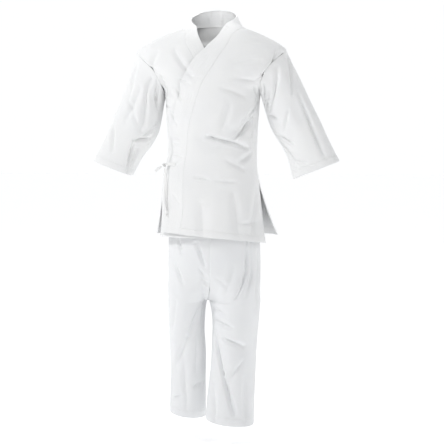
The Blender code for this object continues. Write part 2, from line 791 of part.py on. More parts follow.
def ball(name, centre, size, material):
    """A rounded lump of knotted tape."""
    turns = np.radians(np.arange(0, 360, 30))
    rises = np.radians((-62, -32, 0, 32, 62))
    points = [(0.0, 0.0, -1.0)]
    for rise in rises:
        points += [(np.cos(t) * np.cos(rise), np.sin(t) * np.cos(rise), np.sin(rise)) for t in turns]
    points.append((0.0, 0.0, 1.0))
    points = (np.array(points) * size + centre) * MM
    count = len(turns)
    last = len(points) - 1
    faces = []
    for place in range(count):
        following = (place + 1) % count
        faces.append((0, 1 + following, 1 + place))
        faces.append((last, last - count + place, last - count + following))
        for ring in range(len(rises) - 1):
            low = 1 + ring * count
            faces.append((low + place, low + following, low + count + following, low + count + place))
    mesh = bpy.data.meshes.new(name)
    mesh.from_pydata([tuple(point) for point in points], [], faces)
    mesh.update()
    mesh.shade_smooth()
    made = bpy.data.objects.new(name, mesh)
    bpy.context.scene.collection.objects.link(made)
    made.data.materials.append(material)
    return made


def tape(name, route, count, width, material):
    """A narrow tape as a plain tube through the route's points, read from a smooth curve."""
    route = np.array(route, dtype=float)
    steps = np.concatenate([[0], np.cumsum(np.linalg.norm(np.diff(route, axis=0), axis=1))])
    places = np.linspace(0, steps[-1], count)
    points = np.stack([read_curve(steps, route[:, axis], places) for axis in range(3)], axis=1) * MM
    curve = bpy.data.curves.new(name, "CURVE")
    curve.dimensions = "3D"
    curve.bevel_depth = width / 2 * MM
    curve.bevel_resolution = 2
    curve.use_fill_caps = True
    spline = curve.splines.new("POLY")
    spline.points.add(count - 1)
    for target, point in zip(spline.points, points):
        target.co = (*point, 1.0)
    made = bpy.data.objects.new(name, curve)
    bpy.context.scene.collection.objects.link(made)
    made.data.materials.append(material)
    return made


def build_jacket():
    """The jacket's cloth panels."""
    over = front_grid(OVER_BAND, OVER_SIDE_HEM, 1, "over")
    under = front_grid(UNDER_BAND, UNDER_HEM, -1, "under")
    back = back_grid()
    middle = (0, 0, -350)
    panels = {
        "jacket_front_over": panel_of(over, middle),
        "jacket_front_under": panel_of(under, middle),
        "jacket_back": panel_of(back, middle),
        "jacket_collar": panel_of(collar_grid(), middle, proud=BAND_PROUD, gap=COLLAR_GAP),
    }
    arms = (
        ("left", over, 0, SLEEVE_LEFT, SLEEVE_LEFT_FOLDS),
        ("right", under, -1, SLEEVE_RIGHT, SLEEVE_RIGHT_FOLDS),
    )
    for side, front, column, sections, folds in arms:
        grid = sleeve_grid(front[:, -1], back[:, column], sections, folds)
        inside = grid.mean(axis=(0, 1))
        panels["jacket_sleeve_" + side] = panel_of(grid, inside, closed=True, sleeve=True)
    weld_normals(panels)
    for number, (name, panel) in enumerate(panels.items()):
        shade = 0.86 - 0.01 * number
        make_wall(name, panel, cotton(name + "_cotton", (shade, shade, shade), 0.85))


def build_trousers():
    """The trousers' cloth panels."""
    left = leg_grid(LEG_LEFT, 1, LEG_LEFT_FOLDS)
    right = leg_grid(LEG_RIGHT, -1, LEG_RIGHT_FOLDS)
    panels = {
        "trouser_leg_left": panel_of(left, left.mean(axis=(0, 1))),
        "trouser_leg_right": panel_of(right, right.mean(axis=(0, 1))),
        "trouser_gusset": panel_of(gusset_grid(left, right), (0, 0, CROTCH_START), gap=GUSSET_GAP),
        "trouser_waistband": panel_of(waistband_grid(), (0, 0, WAIST), closed=True, proud=WAISTBAND_PROUD),
    }
    weld_normals(panels)
    for number, (name, panel) in enumerate(panels.items()):
        shade = 0.84 - 0.01 * number
        make_wall(name, panel, cotton(name + "_cotton", (shade, shade, shade), 0.85))


def build_tie():
    """The side tie: its sewn start on the over front, its knot, and the long end that hangs from it."""
    white = cotton("tie_cotton", (0.85, 0.85, 0.85), 0.8)
    angles = np.linspace(TAB_ANGLES[1], TAB_ANGLES[0], TAB_COLUMNS + 1)[None, :]
    heights = np.linspace(TAB_HEIGHTS[0], TAB_HEIGHTS[1], 3)[:, None]
    proud = BAND_PROUD + SEAM_GAP + TAB_WALL
    tab = panel_of(torso(angles, heights, "over"), (0, 0, KNOT_AT[2]), proud=proud, wall=TAB_WALL)
    weld_normals({"tie_tab": tab})
    make_wall("tie_tab", tab, white.copy())
    ball("tie_knot", KNOT_AT, KNOT_SIZE, white)
    tape("tie_long_end", LONG_END, 24, TIE_WIDTH, white.copy())
    tape("tie_short_end", SHORT_END, 5, TIE_WIDTH, white.copy())
    ball("tie_tip", TIP_AT, TIP_SIZE, white.copy())


build_jacket()
build_trousers()
build_tie()
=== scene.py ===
# %% [markdown]
# # A karate uniform in white cotton canvas
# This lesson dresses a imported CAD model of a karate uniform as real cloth. The CAD gives every panel
# its place, size and shape. The cloth made here is a thin shell on each panel's own form, with the
# creases, turned hems, stitching and weave that a maker's machine and a wearer's body leave in it.

# %% Load the frame
import math

import bpy
import numpy as np
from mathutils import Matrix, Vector, noise


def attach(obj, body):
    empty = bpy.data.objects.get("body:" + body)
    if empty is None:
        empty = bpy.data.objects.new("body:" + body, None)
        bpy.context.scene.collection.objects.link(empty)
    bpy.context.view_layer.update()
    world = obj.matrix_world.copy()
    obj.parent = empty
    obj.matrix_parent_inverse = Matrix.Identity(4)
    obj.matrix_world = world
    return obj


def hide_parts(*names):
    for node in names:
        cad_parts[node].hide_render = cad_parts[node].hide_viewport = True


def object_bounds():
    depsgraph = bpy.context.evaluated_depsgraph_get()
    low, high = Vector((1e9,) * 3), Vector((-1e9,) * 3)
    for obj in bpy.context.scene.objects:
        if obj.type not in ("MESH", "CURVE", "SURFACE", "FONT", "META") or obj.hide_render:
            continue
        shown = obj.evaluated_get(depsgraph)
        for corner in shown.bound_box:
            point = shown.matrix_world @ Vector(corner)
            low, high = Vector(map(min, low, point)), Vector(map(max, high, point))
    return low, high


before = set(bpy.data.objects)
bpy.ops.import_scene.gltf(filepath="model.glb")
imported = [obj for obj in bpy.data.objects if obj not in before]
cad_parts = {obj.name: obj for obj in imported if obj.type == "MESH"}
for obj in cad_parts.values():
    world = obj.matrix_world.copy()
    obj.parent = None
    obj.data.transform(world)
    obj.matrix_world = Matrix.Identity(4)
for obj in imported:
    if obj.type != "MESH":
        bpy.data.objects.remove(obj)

MM = 0.001
SOLID_BOX = [list(corner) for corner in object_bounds()]
print("CAD nodes:", len(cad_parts), "box:", [[round(v, 3) for v in c] for c in SOLID_BOX])

# %% [markdown]
# ## The camera
# The photo is square and taken from a little to the wearer's left, with a long lens. The lens, the
# height and the turn were fitted by laying the model's outline over the photo, so the camera is
# placed by numbers. A look-at constraint would need a target point, which the photo doesn't show.

# %% Camera
CAMERA_AT = (0.4314, -3.0698, -0.40)
CAMERA_TILT = 85.2
CAMERA_TURN = 7.46
FOCAL_PX = 905
IMAGE_PX = 444
SENSOR_MM = 36.0

camera = bpy.data.objects.new("camera", bpy.data.cameras.new("camera"))
bpy.context.scene.collection.objects.link(camera)
camera.location = CAMERA_AT
camera.rotation_euler = (math.radians(CAMERA_TILT), 0, math.radians(CAMERA_TURN))
camera.data.sensor_width = SENSOR_MM
camera.data.lens = FOCAL_PX * SENSOR_MM / IMAGE_PX
bpy.context.scene.camera = camera
print("lens, mm:", round(camera.data.lens, 1))

# %% [markdown]
# ## Reading smooth curves from short tables
# A tailor drafts from a few measures and joins them with a smooth curve. The same is done here: each
# table holds a few sections, and a cubic that never swings past its values reads between them. A
# spline tool could do it too, but it would overshoot where two measures are nearly equal.


# %% Curves and blends
def read_curve(keys, values, at):
    """Read a smooth curve through a table's values, which never swings past them."""
    keys = np.asarray(keys, dtype=float)
    values = np.asarray(values, dtype=float)
    order = np.argsort(keys)
    keys = keys[order]
    values = values[order]
    at = np.clip(np.asarray(at, dtype=float), keys[0], keys[-1])
    steps = np.diff(keys)
    slopes = np.diff(values) / steps
    tangents = np.empty_like(values)
    tangents[0] = slopes[0]
    tangents[-1] = slopes[-1]
    rising = slopes[:-1] * slopes[1:]
    safe = np.where(rising > 0, slopes[:-1] + slopes[1:], 1.0)
    tangents[1:-1] = np.where(rising > 0, 2 * rising / safe, 0.0)
    cell = np.clip(np.searchsorted(keys, at, side="right") - 1, 0, len(steps) - 1)
    width = steps[cell]
    part = (at - keys[cell]) / width
    start = (1 + 2 * part) * (1 - part) ** 2 * values[cell]
    leave = part * (1 - part) ** 2 * width * tangents[cell]
    end = part**2 * (3 - 2 * part) * values[cell + 1]
    arrive = part**2 * (part - 1) * width * tangents[cell + 1]
    return start + leave + end + arrive


def read_table(table, column, at, key=0):
    """Read one column of a table at the given places in its key column."""
    return read_curve([row[key] for row in table], [row[column] for row in table], at)


def ease(value, low, high):
    """Rise smoothly from 0 at low to 1 at high."""
    part = np.clip((value - low) / (high - low), 0, 1)
    return part * part * (3 - 2 * part)


def wrapped(degrees):
    """An angle brought to between -180 and 180 degrees."""
    return (np.asarray(degrees, dtype=float) + 180.0) % 360.0 - 180.0


print("a quarter of the way along, a blend has risen to", float(ease(0.25, 0.0, 1.0)))


# %% [markdown]
# ## The body that the jacket hangs on
# Nobody is in the photo, but the cloth still shows the body inside it. That body is a stack of rounded
# sections, each with a left, right, front and back reach in millimetres. The CAD model is built on the
# same sections, so the cloth made here lies exactly where the solids do.

# %% Jacket sizes
VENT_ROWS = 6
SIDE_ROWS = 11
ARM_ROWS = 8
FRONT_COLUMNS = 11
NECK_COLUMNS = 8
BAND_COLUMNS = 2
SLEEVE_ROWS = 12
RELAX_FROM = 21
RELAX_ROUNDS = 2

VENT_TOP = -510.0
ARMPIT = -220.0
BACK_HEM = -702.0
UNDER_HEM = -705.0
OVER_SIDE_HEM = -729.0
SHOULDER_TIP = -82.0
NECK_BACK_SEAM = 10.0
SQUARENESS = 0.88

# Columns z, left, right, front, back
BODY = (
    (-730, -196, 181, 138, 130),
    (-600, -180, 165, 127, 117),
    (-510, -174, 155, 119, 105),
    (-470, -167, 150, 116, 100),
    (-430, -158, 149, 115, 99),
    (-380, -155, 150, 117, 101),
    (-300, -159, 154, 125, 110),
    (-220, -165, 161, 128, 119),
    (-185, -200, 198, 126, 122),
    (-150, -236, 232, 121, 123),
    (-115, -258, 246, 113, 120),
    (-82, -263, 248, 102, 113),
    (-61, -236, 226, 94, 107),
    (-41, -199, 189, 83, 100),
    (-20, -153, 146, 71, 92),
    (0, -93, 98, 60, 85),
    (20, -80, 88, 52, 80),
    (45, -70, 78, 42, 75),
    (75, -65, 72, 34, 69),
)

# %% [markdown]
# ## The edges of the wrap
# A wrap jacket is drawn by its edges: the band's free edge and its seam, and the armhole. Each edge is a
# short table of angles round the body and heights, read off the photo. They could be curves drawn by
# hand in the viewport, but numbers can be corrected one at a time.

# %% Where the edges run
# The collar band on each front, columns free_z, free_angle, seam_z, seam_angle
OVER_BAND = (
    (-688, -56, -692, -27),
    (-600, -53, -600, -24),
    (-460, -50, -460, -25),
    (-380, -52, -380, -24),
    (-300, -47, -312, -19),
    (-215, -31, -240, -10.5),
    (-143, -13, -178, -2),
    (-80, -1.4, -109, 6.5),
    (-20, 12.5, -42, 18.5),
    (11, 36, -18, 36),
    (36, 90, 0, 90),
)
UNDER_BAND = (
    (-705, 52, -705, 24),
    (-600, 52, -600, 24),
    (-460, 52, -460, 24),
    (-380, 52, -380, 24),
    (-300, 46, -306, 19),
    (-215, 30, -228, 6),
    (-143, 9, -160, -4),
    (-80, -1.4, -98, -9.2),
    (-25, -11, -44, -19.6),
    (3, -35, -20, -30),
    (31, -90, 0, -90),
)
NECK_BAND = (
    (36, 90, 0, 90),
    (57, 135, 7, 135),
    (65, 180, NECK_BACK_SEAM, 180),
    (56, 225, 7, 225),
    (31, 270, 0, 270),
)

# The armhole's edge on the front and, mirrored, on the back: columns z, angle
ARMHOLE = (
    (ARMPIT, 90),
    (-206, 69),
    (-185, 57),
    (-150, 51),
    (-125, 56),
    (-100, 68),
    (SHOULDER_TIP, 90),
)

# %% [markdown]
# ## Layers, vents and large folds
# The over front lies on the under front, so the one is lifted a little and the other sinks. Below the
# vents nothing holds the panels, and they swing out. The large folds are the same as in the solids.

# %% Layers and large folds
# How the layers lie on each other, and how the panels spread below the vents
OVER_LIFT = 3.0
UNDER_DROP = 9.0
LIFT_ANGLE = 35.0
DROP_ANGLE = 18.0
NECK_FADE = (-75.0, -10.0)
UNDER_FADE = (-60.0, -30.0)
BACK_FLARE = {1: 42.0, -1: 6.0}
FRONT_KICK = {1: -10.0, -1: -3.0}
UNDER_DRAW = 14.0
FLARE_ANGLE = 46.0

# The body's largest folds, columns angle_a, z_a, angle_b, z_b, half_width, depth
BODY_DEGREE = 2.4
JACKET_FOLDS = (
    (62, -318, 18, -374, 20, 10),
    (-4, -384, 47, -412, 20, 9),
    (55, -335, 30, -398, 20, -5),
    (28, -178, 58, -186, 20, 5),
    (-30, -206, -22, -258, 19, 6),
    (-42, -300, -34, -330, 17, 5),
    (-66, -236, -44, -262, 17, 7),
    (-12, -512, 24, -532, 20, 5),
    (48, -664, 80, -660, 20, 6),
    (84, -250, 80, -500, 18, 5),
    (-20, -340, -22, -590, 14, -3),
    (8, -560, 14, -705, 30, -4),
    (-38, -560, -42, -700, 24, 4),
    (120, -300, 150, -420, 18, 7),
    (236, -310, 208, -420, 18, 6),
    (150, -430, 212, -440, 18, 6),
    (138, -520, 130, -700, 26, 5),
    (180, -540, 184, -705, 30, -6),
    (226, -520, 232, -700, 26, 5),
    (140, -150, 158, -240, 20, 5),
    (222, -150, 204, -250, 20, 5),
)


# %% [markdown]
# ## From sections to a surface
# A section is an oval with slightly squared corners, like a chest seen from above. Each layer of the
# wrap lies a few millimetres outside or inside it, and the large folds press it in. Lofting a surface
# through the sections would look the same, but wouldn't tell which way is outwards at each point, and
# the layers and folds are moved by that.

# %% The body's surface
def off_segment(across, down, fold, scale, period=0.0):
    """How far each point lies from a fold's segment, in mm, and which part of it is nearest."""
    across_a, down_a, across_b, down_b = fold[:4]
    off = across - across_a
    if period:
        off = (off + period / 2) % period - period / 2
    right = off * scale
    rise = down - down_a
    run_x = (across_b - across_a) * scale
    run_z = down_b - down_a
    part = np.clip((right * run_x + rise * run_z) / (run_x**2 + run_z**2), 0, 1)
    return np.hypot(right - part * run_x, rise - part * run_z), part


def fold_depth(across, down, folds, scale, period=0.0):
    """How far folds push the cloth inwards at each point; each is a soft trough along a segment."""
    total = np.zeros(np.broadcast(across, down).shape)
    for fold in folds:
        away, part = off_segment(across, down, fold, scale, period)
        taper = 0.35 + 0.65 * np.sin(np.pi * np.clip(part, 0.08, 0.92))
        total = total + fold[5] * taper * np.exp(-((away / fold[4]) ** 2))
    return total


def ring_point(table, angle, z):
    """A point of a body section, and the outward direction there."""
    left, right, front, back = (read_table(table, column, z) for column in range(1, 5))
    half = (right - left) / 2
    sine = np.sin(np.radians(angle))
    cosine = np.cos(np.radians(angle))
    depth = np.where(cosine > 0, front, back)
    off_x = half * np.sign(sine) * np.abs(sine) ** SQUARENESS
    off_y = -np.sign(cosine) * depth * np.abs(cosine) ** SQUARENESS
    out_x = off_x / half**2
    out_y = off_y / depth**2
    size = np.hypot(out_x, out_y)
    point = np.stack([(left + right) / 2 + off_x, off_y, z * np.ones_like(off_x)], axis=-1)
    outward = np.stack([out_x / size, out_y / size, np.zeros_like(off_x)], axis=-1)
    return point, outward


def layer_offset(angle, z, layer):
    """How far one front lies outside or inside the body form."""
    past_edge = wrapped(angle) - read_table(OVER_BAND, 1, z)
    if layer == "over":
        below_neck = 1 - ease(z, *NECK_FADE)
        return OVER_LIFT * below_neck * (1 - ease(past_edge, 0.0, LIFT_ANGLE))
    if layer == "under":
        below_neck = 1 - ease(z, *UNDER_FADE)
        return -UNDER_DROP * ease(past_edge, -DROP_ANGLE, DROP_ANGLE / 2) * below_neck
    return np.zeros_like(past_edge)


def vent_shift(angle, z, layer):
    """How a panel spreads sideways and forwards below the vents."""
    side = np.where(wrapped(angle) >= 0, 1, -1)
    drop = np.clip((VENT_TOP - z) / (VENT_TOP - BACK_HEM), 0, 1.1)
    near = 1 - ease(np.abs(np.abs(wrapped(angle)) - 90.0), 0.0, FLARE_ANGLE)
    amounts = BACK_FLARE if layer == "back" else FRONT_KICK
    amount = np.where(side > 0, amounts[1], amounts[-1]) * near * drop**1.3
    zero = np.zeros_like(amount)
    if layer == "back":
        return np.stack([amount * side, zero, zero], axis=-1)
    drawn = UNDER_DRAW * near * drop**1.3 if layer == "under" else zero
    return np.stack([drawn, amount, zero], axis=-1)


def torso(angle, z, layer):
    """Points of the jacket's body in one of its layers: over, under, back or neck."""
    angle = np.asarray(angle, dtype=float)
    z = np.asarray(z, dtype=float)
    point, outward = ring_point(BODY, angle, z)
    push = layer_offset(angle, z, layer)
    push = push - fold_depth(angle, z, JACKET_FOLDS, BODY_DEGREE, period=360.0)
    point = point + outward * push[..., None]
    if layer != "neck":
        point = point + vent_shift(angle, z, layer)
    return point


print("front of the chest, mm:", torso(20.0, -300.0, "over").round(1))

# %% [markdown]
# ## Cutting the jacket's panels
# Each panel is a sheet with two directions, down and across, like the warp and weft of its cloth. A
# coarse grid of points places it on the body. Every point also keeps the angle and height it was read
# at, because the creases are placed by those. Cutting flat pattern pieces and sewing them in a cloth
# simulation is the other way, but then the outline would settle where it likes, not where the photo
# has it.


# %% Jacket grids
def band_samples(table):
    """Where along a front's band table the panel's rows fall: level below the armpit, even above."""
    heights = np.array([row[2] for row in table], dtype=float)
    places = np.arange(len(table), dtype=float)
    vent = np.linspace(heights[0], VENT_TOP, VENT_ROWS + 1)
    side = np.linspace(VENT_TOP, ARMPIT, SIDE_ROWS + 1)[1:]
    low = np.interp(np.concatenate([vent, side]), heights, places)
    high = np.linspace(low[-1], places[-1], ARM_ROWS + 1)[1:]
    return np.concatenate([low, high])


def side_edge(hem):
    """A panel's side edge, hem to armpit to shoulder tip, as angles and heights for the +X front."""
    vent = np.linspace(hem, VENT_TOP, VENT_ROWS + 1)
    side = np.linspace(VENT_TOP, ARMPIT, SIDE_ROWS + 1)[1:]
    places = np.linspace(0, len(ARMHOLE) - 1, ARM_ROWS + 1)[1:]
    steps = range(len(ARMHOLE))
    arm_z = read_curve(steps, [row[0] for row in ARMHOLE], places)
    arm_angle = read_curve(steps, [row[1] for row in ARMHOLE], places)
    z = np.concatenate([vent, side, arm_z])
    angle = np.concatenate([np.full(len(vent) + len(side), 90.0), arm_angle])
    return angle, z


def sheet_of(grid, down, across):
    """A sheet: its points, and the two coordinates that creases are placed by."""
    shape = grid.shape[:2]
    return {"grid": grid, "down": np.broadcast_to(down, shape), "across": np.broadcast_to(across, shape)}


def front_sheet(band, hem, mirror, layer):
    """A front panel between its band's seam and its side, seam and armhole edge."""
    samples = band_samples(band)
    seam_z = read_curve(range(len(band)), [row[2] for row in band], samples)
    seam_angle = read_curve(range(len(band)), [row[3] for row in band], samples)
    angle, z = side_edge(hem)
    across = np.linspace(0, 1, FRONT_COLUMNS + 1)
    angles = seam_angle[:, None] * (1 - across) + mirror * angle[:, None] * across
    heights = seam_z[:, None] * (1 - across) + z[:, None] * across
    return sheet_of(torso(angles, heights, layer), heights, angles)


# %% [markdown]
# ## The back panel
# The back is one panel without a middle seam. Its rows spread where the armholes cut in, so a few
# rounds of averaging even them out there, as a presser would steam the cloth flat.

# %% The back's grid
def relaxed(grid, first_row, rounds):
    """Even out a panel's points above one row, leaving its edges where they are."""
    for _ in range(rounds):
        beside = grid[first_row:-1, 2:] + grid[first_row:-1, :-2]
        above = grid[first_row + 1 :, 1:-1] + grid[first_row - 1 : -2, 1:-1]
        grid[first_row:-1, 1:-1] = grid[first_row:-1, 1:-1] / 2 + (beside + above) / 8
    return grid


def back_sheet():
    """The back panel, from the +X side round to the -X side, up to the shoulders and neck."""
    angle, z = side_edge(BACK_HEM)
    right_angle = 180.0 - angle
    left_angle = 360.0 - right_angle
    ridge = np.linspace(0, 1, FRONT_COLUMNS + 1)
    neck = np.linspace(90.0, 270.0, NECK_COLUMNS + 1)[1:]
    neck_z = read_curve([row[3] for row in NECK_BAND], [row[2] for row in NECK_BAND], neck)
    ends = np.full(FRONT_COLUMNS + 1, 90.0)
    top_angle = np.concatenate([ends, neck, np.full(FRONT_COLUMNS, 270.0)])
    ridge_z = SHOULDER_TIP * (1 - ridge)
    top_z = np.concatenate([ridge_z, neck_z, ridge_z[::-1][1:]])
    across = np.linspace(0, 1, len(top_angle))
    low = np.zeros(VENT_ROWS + SIDE_ROWS)
    rise = np.concatenate([low, np.linspace(0, 1, ARM_ROWS + 1)])[:, None]
    angles = right_angle[:, None] * (1 - across) + left_angle[:, None] * across
    heights = np.repeat(z[:, None], len(top_angle), axis=1)
    angles = angles + rise**1.2 * (top_angle - (90.0 + 180.0 * across))
    heights = heights + rise * (top_z - SHOULDER_TIP)
    angles[-1] = top_angle
    heights[-1] = top_z
    return sheet_of(relaxed(torso(angles, heights, "back"), RELAX_FROM, RELAX_ROUNDS), heights, angles)


# %% [markdown]
# ## The band as one strip
# A maker sews the band on in one strip, from one front's hem round the neck to the other's. The grid
# does the same and uses the very rows of the two fronts, so band and panels meet all along.

# %% The collar's grid
def band_rows(table, samples):
    """Rows of the band, from its free edge to its seam, as angles and heights."""
    columns = [read_curve(range(len(table)), [row[c] for row in table], samples) for c in range(4)]
    across = np.linspace(0, 1, BAND_COLUMNS + 1)
    heights = columns[0][:, None] * (1 - across) + columns[2][:, None] * across
    angles = columns[1][:, None] * (1 - across) + columns[3][:, None] * across
    return angles, heights


def collar_sheet():
    """The collar band in one strip: up the over front, round the neck, down the under front."""
    over_rows = band_rows(OVER_BAND, band_samples(OVER_BAND))
    under_rows = band_rows(UNDER_BAND, band_samples(UNDER_BAND))
    angles = np.linspace(90.0, 270.0, NECK_COLUMNS + 1)
    rows = [row[3] for row in NECK_BAND]
    free_z = read_curve(rows, [row[0] for row in NECK_BAND], angles)
    seam_z = read_curve(rows, [row[2] for row in NECK_BAND], angles)
    across = np.linspace(0, 1, BAND_COLUMNS + 1)
    heights = free_z[:, None] * (1 - across) + seam_z[:, None] * across
    neck_angles = np.repeat(angles[:, None], BAND_COLUMNS + 1, axis=1)
    neck = torso(neck_angles, heights, "neck")
    grid = np.concatenate([torso(*over_rows, "over"), neck[1:-1], torso(*under_rows, "under")[::-1]])
    down = np.concatenate([over_rows[1], heights[1:-1], under_rows[1][::-1]])
    turn = np.concatenate([over_rows[0], neck_angles[1:-1], under_rows[0][::-1]])
    return sheet_of(grid, down, turn)


print("rows in a front panel's grid:", len(band_samples(OVER_BAND)))

# %% [markdown]
# ## Sleeves
# The sleeves are plain tubes, sewn to the dropped armhole and cut off square on the forearm.
# Each ring of a tube is a rounded section between its outer and inner edge, and the first ring is the
# armhole itself, so body and sleeve share every point of the seam.

# %% Sleeve sizes and grids
# Columns outer_x, outer_z, inner_x, inner_z, middle_y, half_depth
SLEEVE_LEFT = (
    (268, -126, 172, -266, 4, 76),
    (297, -184, 183, -304, 2, 72),
    (327, -245, 202, -350, -1, 67),
    (358, -309, 230, -394, -5, 62),
    (388, -374, 254, -440, -10, 58),
    (427, -450, 273, -511, -16, 53),
)
SLEEVE_RIGHT = (
    (-276, -126, -174, -264, 4, 76),
    (-296, -180, -180, -300, 3, 72),
    (-318, -236, -190, -350, 1, 66),
    (-344, -300, -214, -396, -2, 60),
    (-374, -370, -244, -436, -6, 56),
    (-415, -449, -281, -501, -10, 51),
)
# Columns around_a, along_a, around_b, along_b, half_width, depth
SLEEVE_DEGREE = 1.2
SLEEVE_SET_OFF = 0.4
SLEEVE_LEFT_FOLDS = (
    (52, 0.10, 40, 0.42, 15, 5),
    (78, 0.36, 40, 0.86, 16, 6),
    (128, 0.05, 150, 0.30, 15, 6),
    (140, 0.42, 118, 0.66, 14, 4),
    (236, 0.15, 250, 0.55, 18, 6),
    (290, 0.40, 262, 0.80, 18, 5),
)
SLEEVE_RIGHT_FOLDS = (
    (108, 0.00, 142, 0.26, 15, 8),
    (60, 0.48, 66, 0.74, 15, 5),
    (150, 0.60, 132, 0.84, 15, 7),
    (40, 0.16, 58, 0.44, 16, 4),
    (236, 0.15, 252, 0.55, 18, 6),
    (292, 0.40, 262, 0.80, 18, 5),
)


def in_mm(folds, length):
    """Sleeve folds with their places along the sleeve turned from parts into millimetres."""
    return tuple((f[0], f[1] * length, f[2], f[3] * length, *f[4:]) for f in folds)


def sleeve_sheet(front, back, sections, folds):
    """A sleeve from the armhole's own points to the cuff, and its length in mm."""
    arm = slice(VENT_ROWS + SIDE_ROWS, None)
    hole = np.concatenate([front[arm], back[arm][::-1][1:-1]])
    turn = np.radians(np.linspace(180.0, -180.0, len(hole) + 1)[:-1])
    side = np.sign(np.sin(turn)) * np.abs(np.sin(turn)) ** SQUARENESS
    rings = [hole]
    for outer_x, outer_z, inner_x, inner_z, middle_y, half_depth in sections:
        middle = np.array([(outer_x + inner_x) / 2, middle_y, (outer_z + inner_z) / 2])
        reach = np.array([(outer_x - inner_x) / 2, 0, (outer_z - inner_z) / 2])
        rings.append(middle + np.cos(turn)[:, None] * reach + side[:, None] * np.array([0, -half_depth, 0]))
    rings = np.array(rings)
    places = np.linspace(0, len(rings) - 1, SLEEVE_ROWS + 1)
    flat = rings.reshape(len(rings), -1)
    grid = np.stack([read_curve(range(len(rings)), column, places) for column in flat.T], axis=1)
    grid = grid.reshape(len(places), len(hole), 3)
    centres = grid.mean(axis=1, keepdims=True)
    outward = grid - centres
    outward = outward / np.linalg.norm(outward, axis=-1, keepdims=True)
    along = (places / places[-1])[:, None]
    length = np.linalg.norm(centres[-1, 0] - centres[0, 0])
    around = np.degrees(turn)[None, :]
    depth = fold_depth(around, along * length, in_mm(folds, length), SLEEVE_DEGREE, period=360.0)
    grid = grid - outward * (depth * ease(along, 0.0, 0.12))[..., None]
    run = grid[1].mean(axis=0) - grid[0].mean(axis=0)
    grid = grid + SLEEVE_SET_OFF * run / np.linalg.norm(run)
    return sheet_of(grid, along * length, around), length


print("width of the left cuff, mm:", round(math.dist(SLEEVE_LEFT[-1][0:2], SLEEVE_LEFT[-1][2:4])))

# %% [markdown]
# ## Trousers
# The trousers are two legs, each one panel wrapped round to an inseam. Above the crotch the two meet
# at the centre front and back. A small diamond, the gusset, is let in between them so that the wearer
# can kick without tearing the seam.

# %% Trouser sizes and grids
LEG_COLUMNS = 24
LEG_ROWS = 24
HIP_ROWS = 8
CROTCH_ROWS = 6
WAIST = -385.0
WAISTBAND_DEPTH = 42.0
CROTCH_START = -800.0
CROTCH = -930.0
CROTCH_X = -17.0
GUSSET_FROM = 2
INSEAM_CROWD = 0.06
GUSSET_HALF = 6.0
GUSSET_SPREAD = 0.07
DEPTH_SPREAD = 0.09
HIP_MIDDLE = 4.0
GUSSET_TIP = 0.75
HEM_TILT = {1: 8.0, -1: -7.0}
TILT_FROM = -1200.0

# Columns z, left, right, front, back
HIP = (
    (-1000, -155, 161, 112, 110),
    (-905, -155, 161, 114, 112),
    (-850, -155, 163, 116, 115),
    (-780, -155, 163, 117, 116),
    (-705, -154, 158, 115, 112),
    (-600, -149, 149, 109, 104),
    (-510, -142, 140, 102, 94),
    (-430, -136, 136, 96, 87),
    (-380, -133, 133, 93, 85),
)
# Columns z, inner, outer, front, back
LEG_LEFT = (
    (-700, 10, 160, -118, 100),
    (-930, -11, 163, -114, 94),
    (-975, -3, 160, -112, 84),
    (-1030, -1, 157, -110, 76),
    (-1120, -4, 151, -108, 58),
    (-1220, -13, 148, -112, 44),
    (-1340, -21, 145, -118, 26),
)
LEG_RIGHT = (
    (-700, -34, -156, -112, 108),
    (-930, -23, -158, -101, 105),
    (-975, -31, -158, -93, 100),
    (-1030, -34, -158, -82, 94),
    (-1120, -29, -157, -64, 86),
    (-1220, -31, -158, -48, 86),
    (-1340, -32, -159, -36, 90),
)
# Columns around_a, z_a, around_b, z_b, half_width, depth
LEG_DEGREE = 1.25
LEG_LEFT_FOLDS = (
    (70, -750, 40, -925, 17, 5),
    (52, -1020, 96, -1036, 14, 6),
    (78, -1062, 150, -1098, 14, 6),
    (46, -1040, 112, -1330, 17, 8),
    (150, -900, 165, -1250, 24, 5),
    (30, -800, 20, -900, 15, 5),
    (270, -960, 300, -1110, 20, 7),
    (240, -1100, 268, -1320, 22, 6),
    (200, -760, 215, -900, 20, 5),
)
LEG_RIGHT_FOLDS = (
    (96, -740, 110, -800, 15, 5),
    (120, -840, 98, -900, 15, 5),
    (60, -960, 118, -1170, 20, 6),
    (46, -1240, 62, -1224, 14, 5),
    (110, -1270, 90, -1262, 14, 4),
    (150, -940, 168, -1280, 24, 5),
    (270, -960, 300, -1110, 20, 7),
    (236, -1120, 262, -1320, 22, 6),
    (200, -760, 215, -900, 20, 5),
)


# %% [markdown]
# ## One panel for each leg
# A leg starts as half of the hips and closes to a tube below the crotch, as the flat pattern does when
# its inseam is sewn. Two tubes joined by a boolean would leave a sharp line where the rise is smooth.

# %% The legs' grids
def edge_shift(grid, part, close, mirror):
    """How far a leg's edges move sideways to meet in the middle and leave the gusset its diamond."""
    middle = HIP_MIDDLE * (1 - close) + CROTCH_X * close
    open_from = 1 - np.cos(np.pi / 2 * GUSSET_FROM / CROTCH_ROWS)
    half = GUSSET_HALF * np.clip((close - open_from) / (1 - open_from), 0, 1) ** 0.8
    shift = np.zeros(grid.shape[:2])
    upper = close < 1
    for column, edge in ((0, 0.0), (-1, 1.0)):
        wanted = middle + mirror * half - grid[:, column, 0]
        near = np.exp(-(((part[0] - edge) / GUSSET_SPREAD) ** 2))
        shift += (wanted * upper)[:, None] * near
    return shift


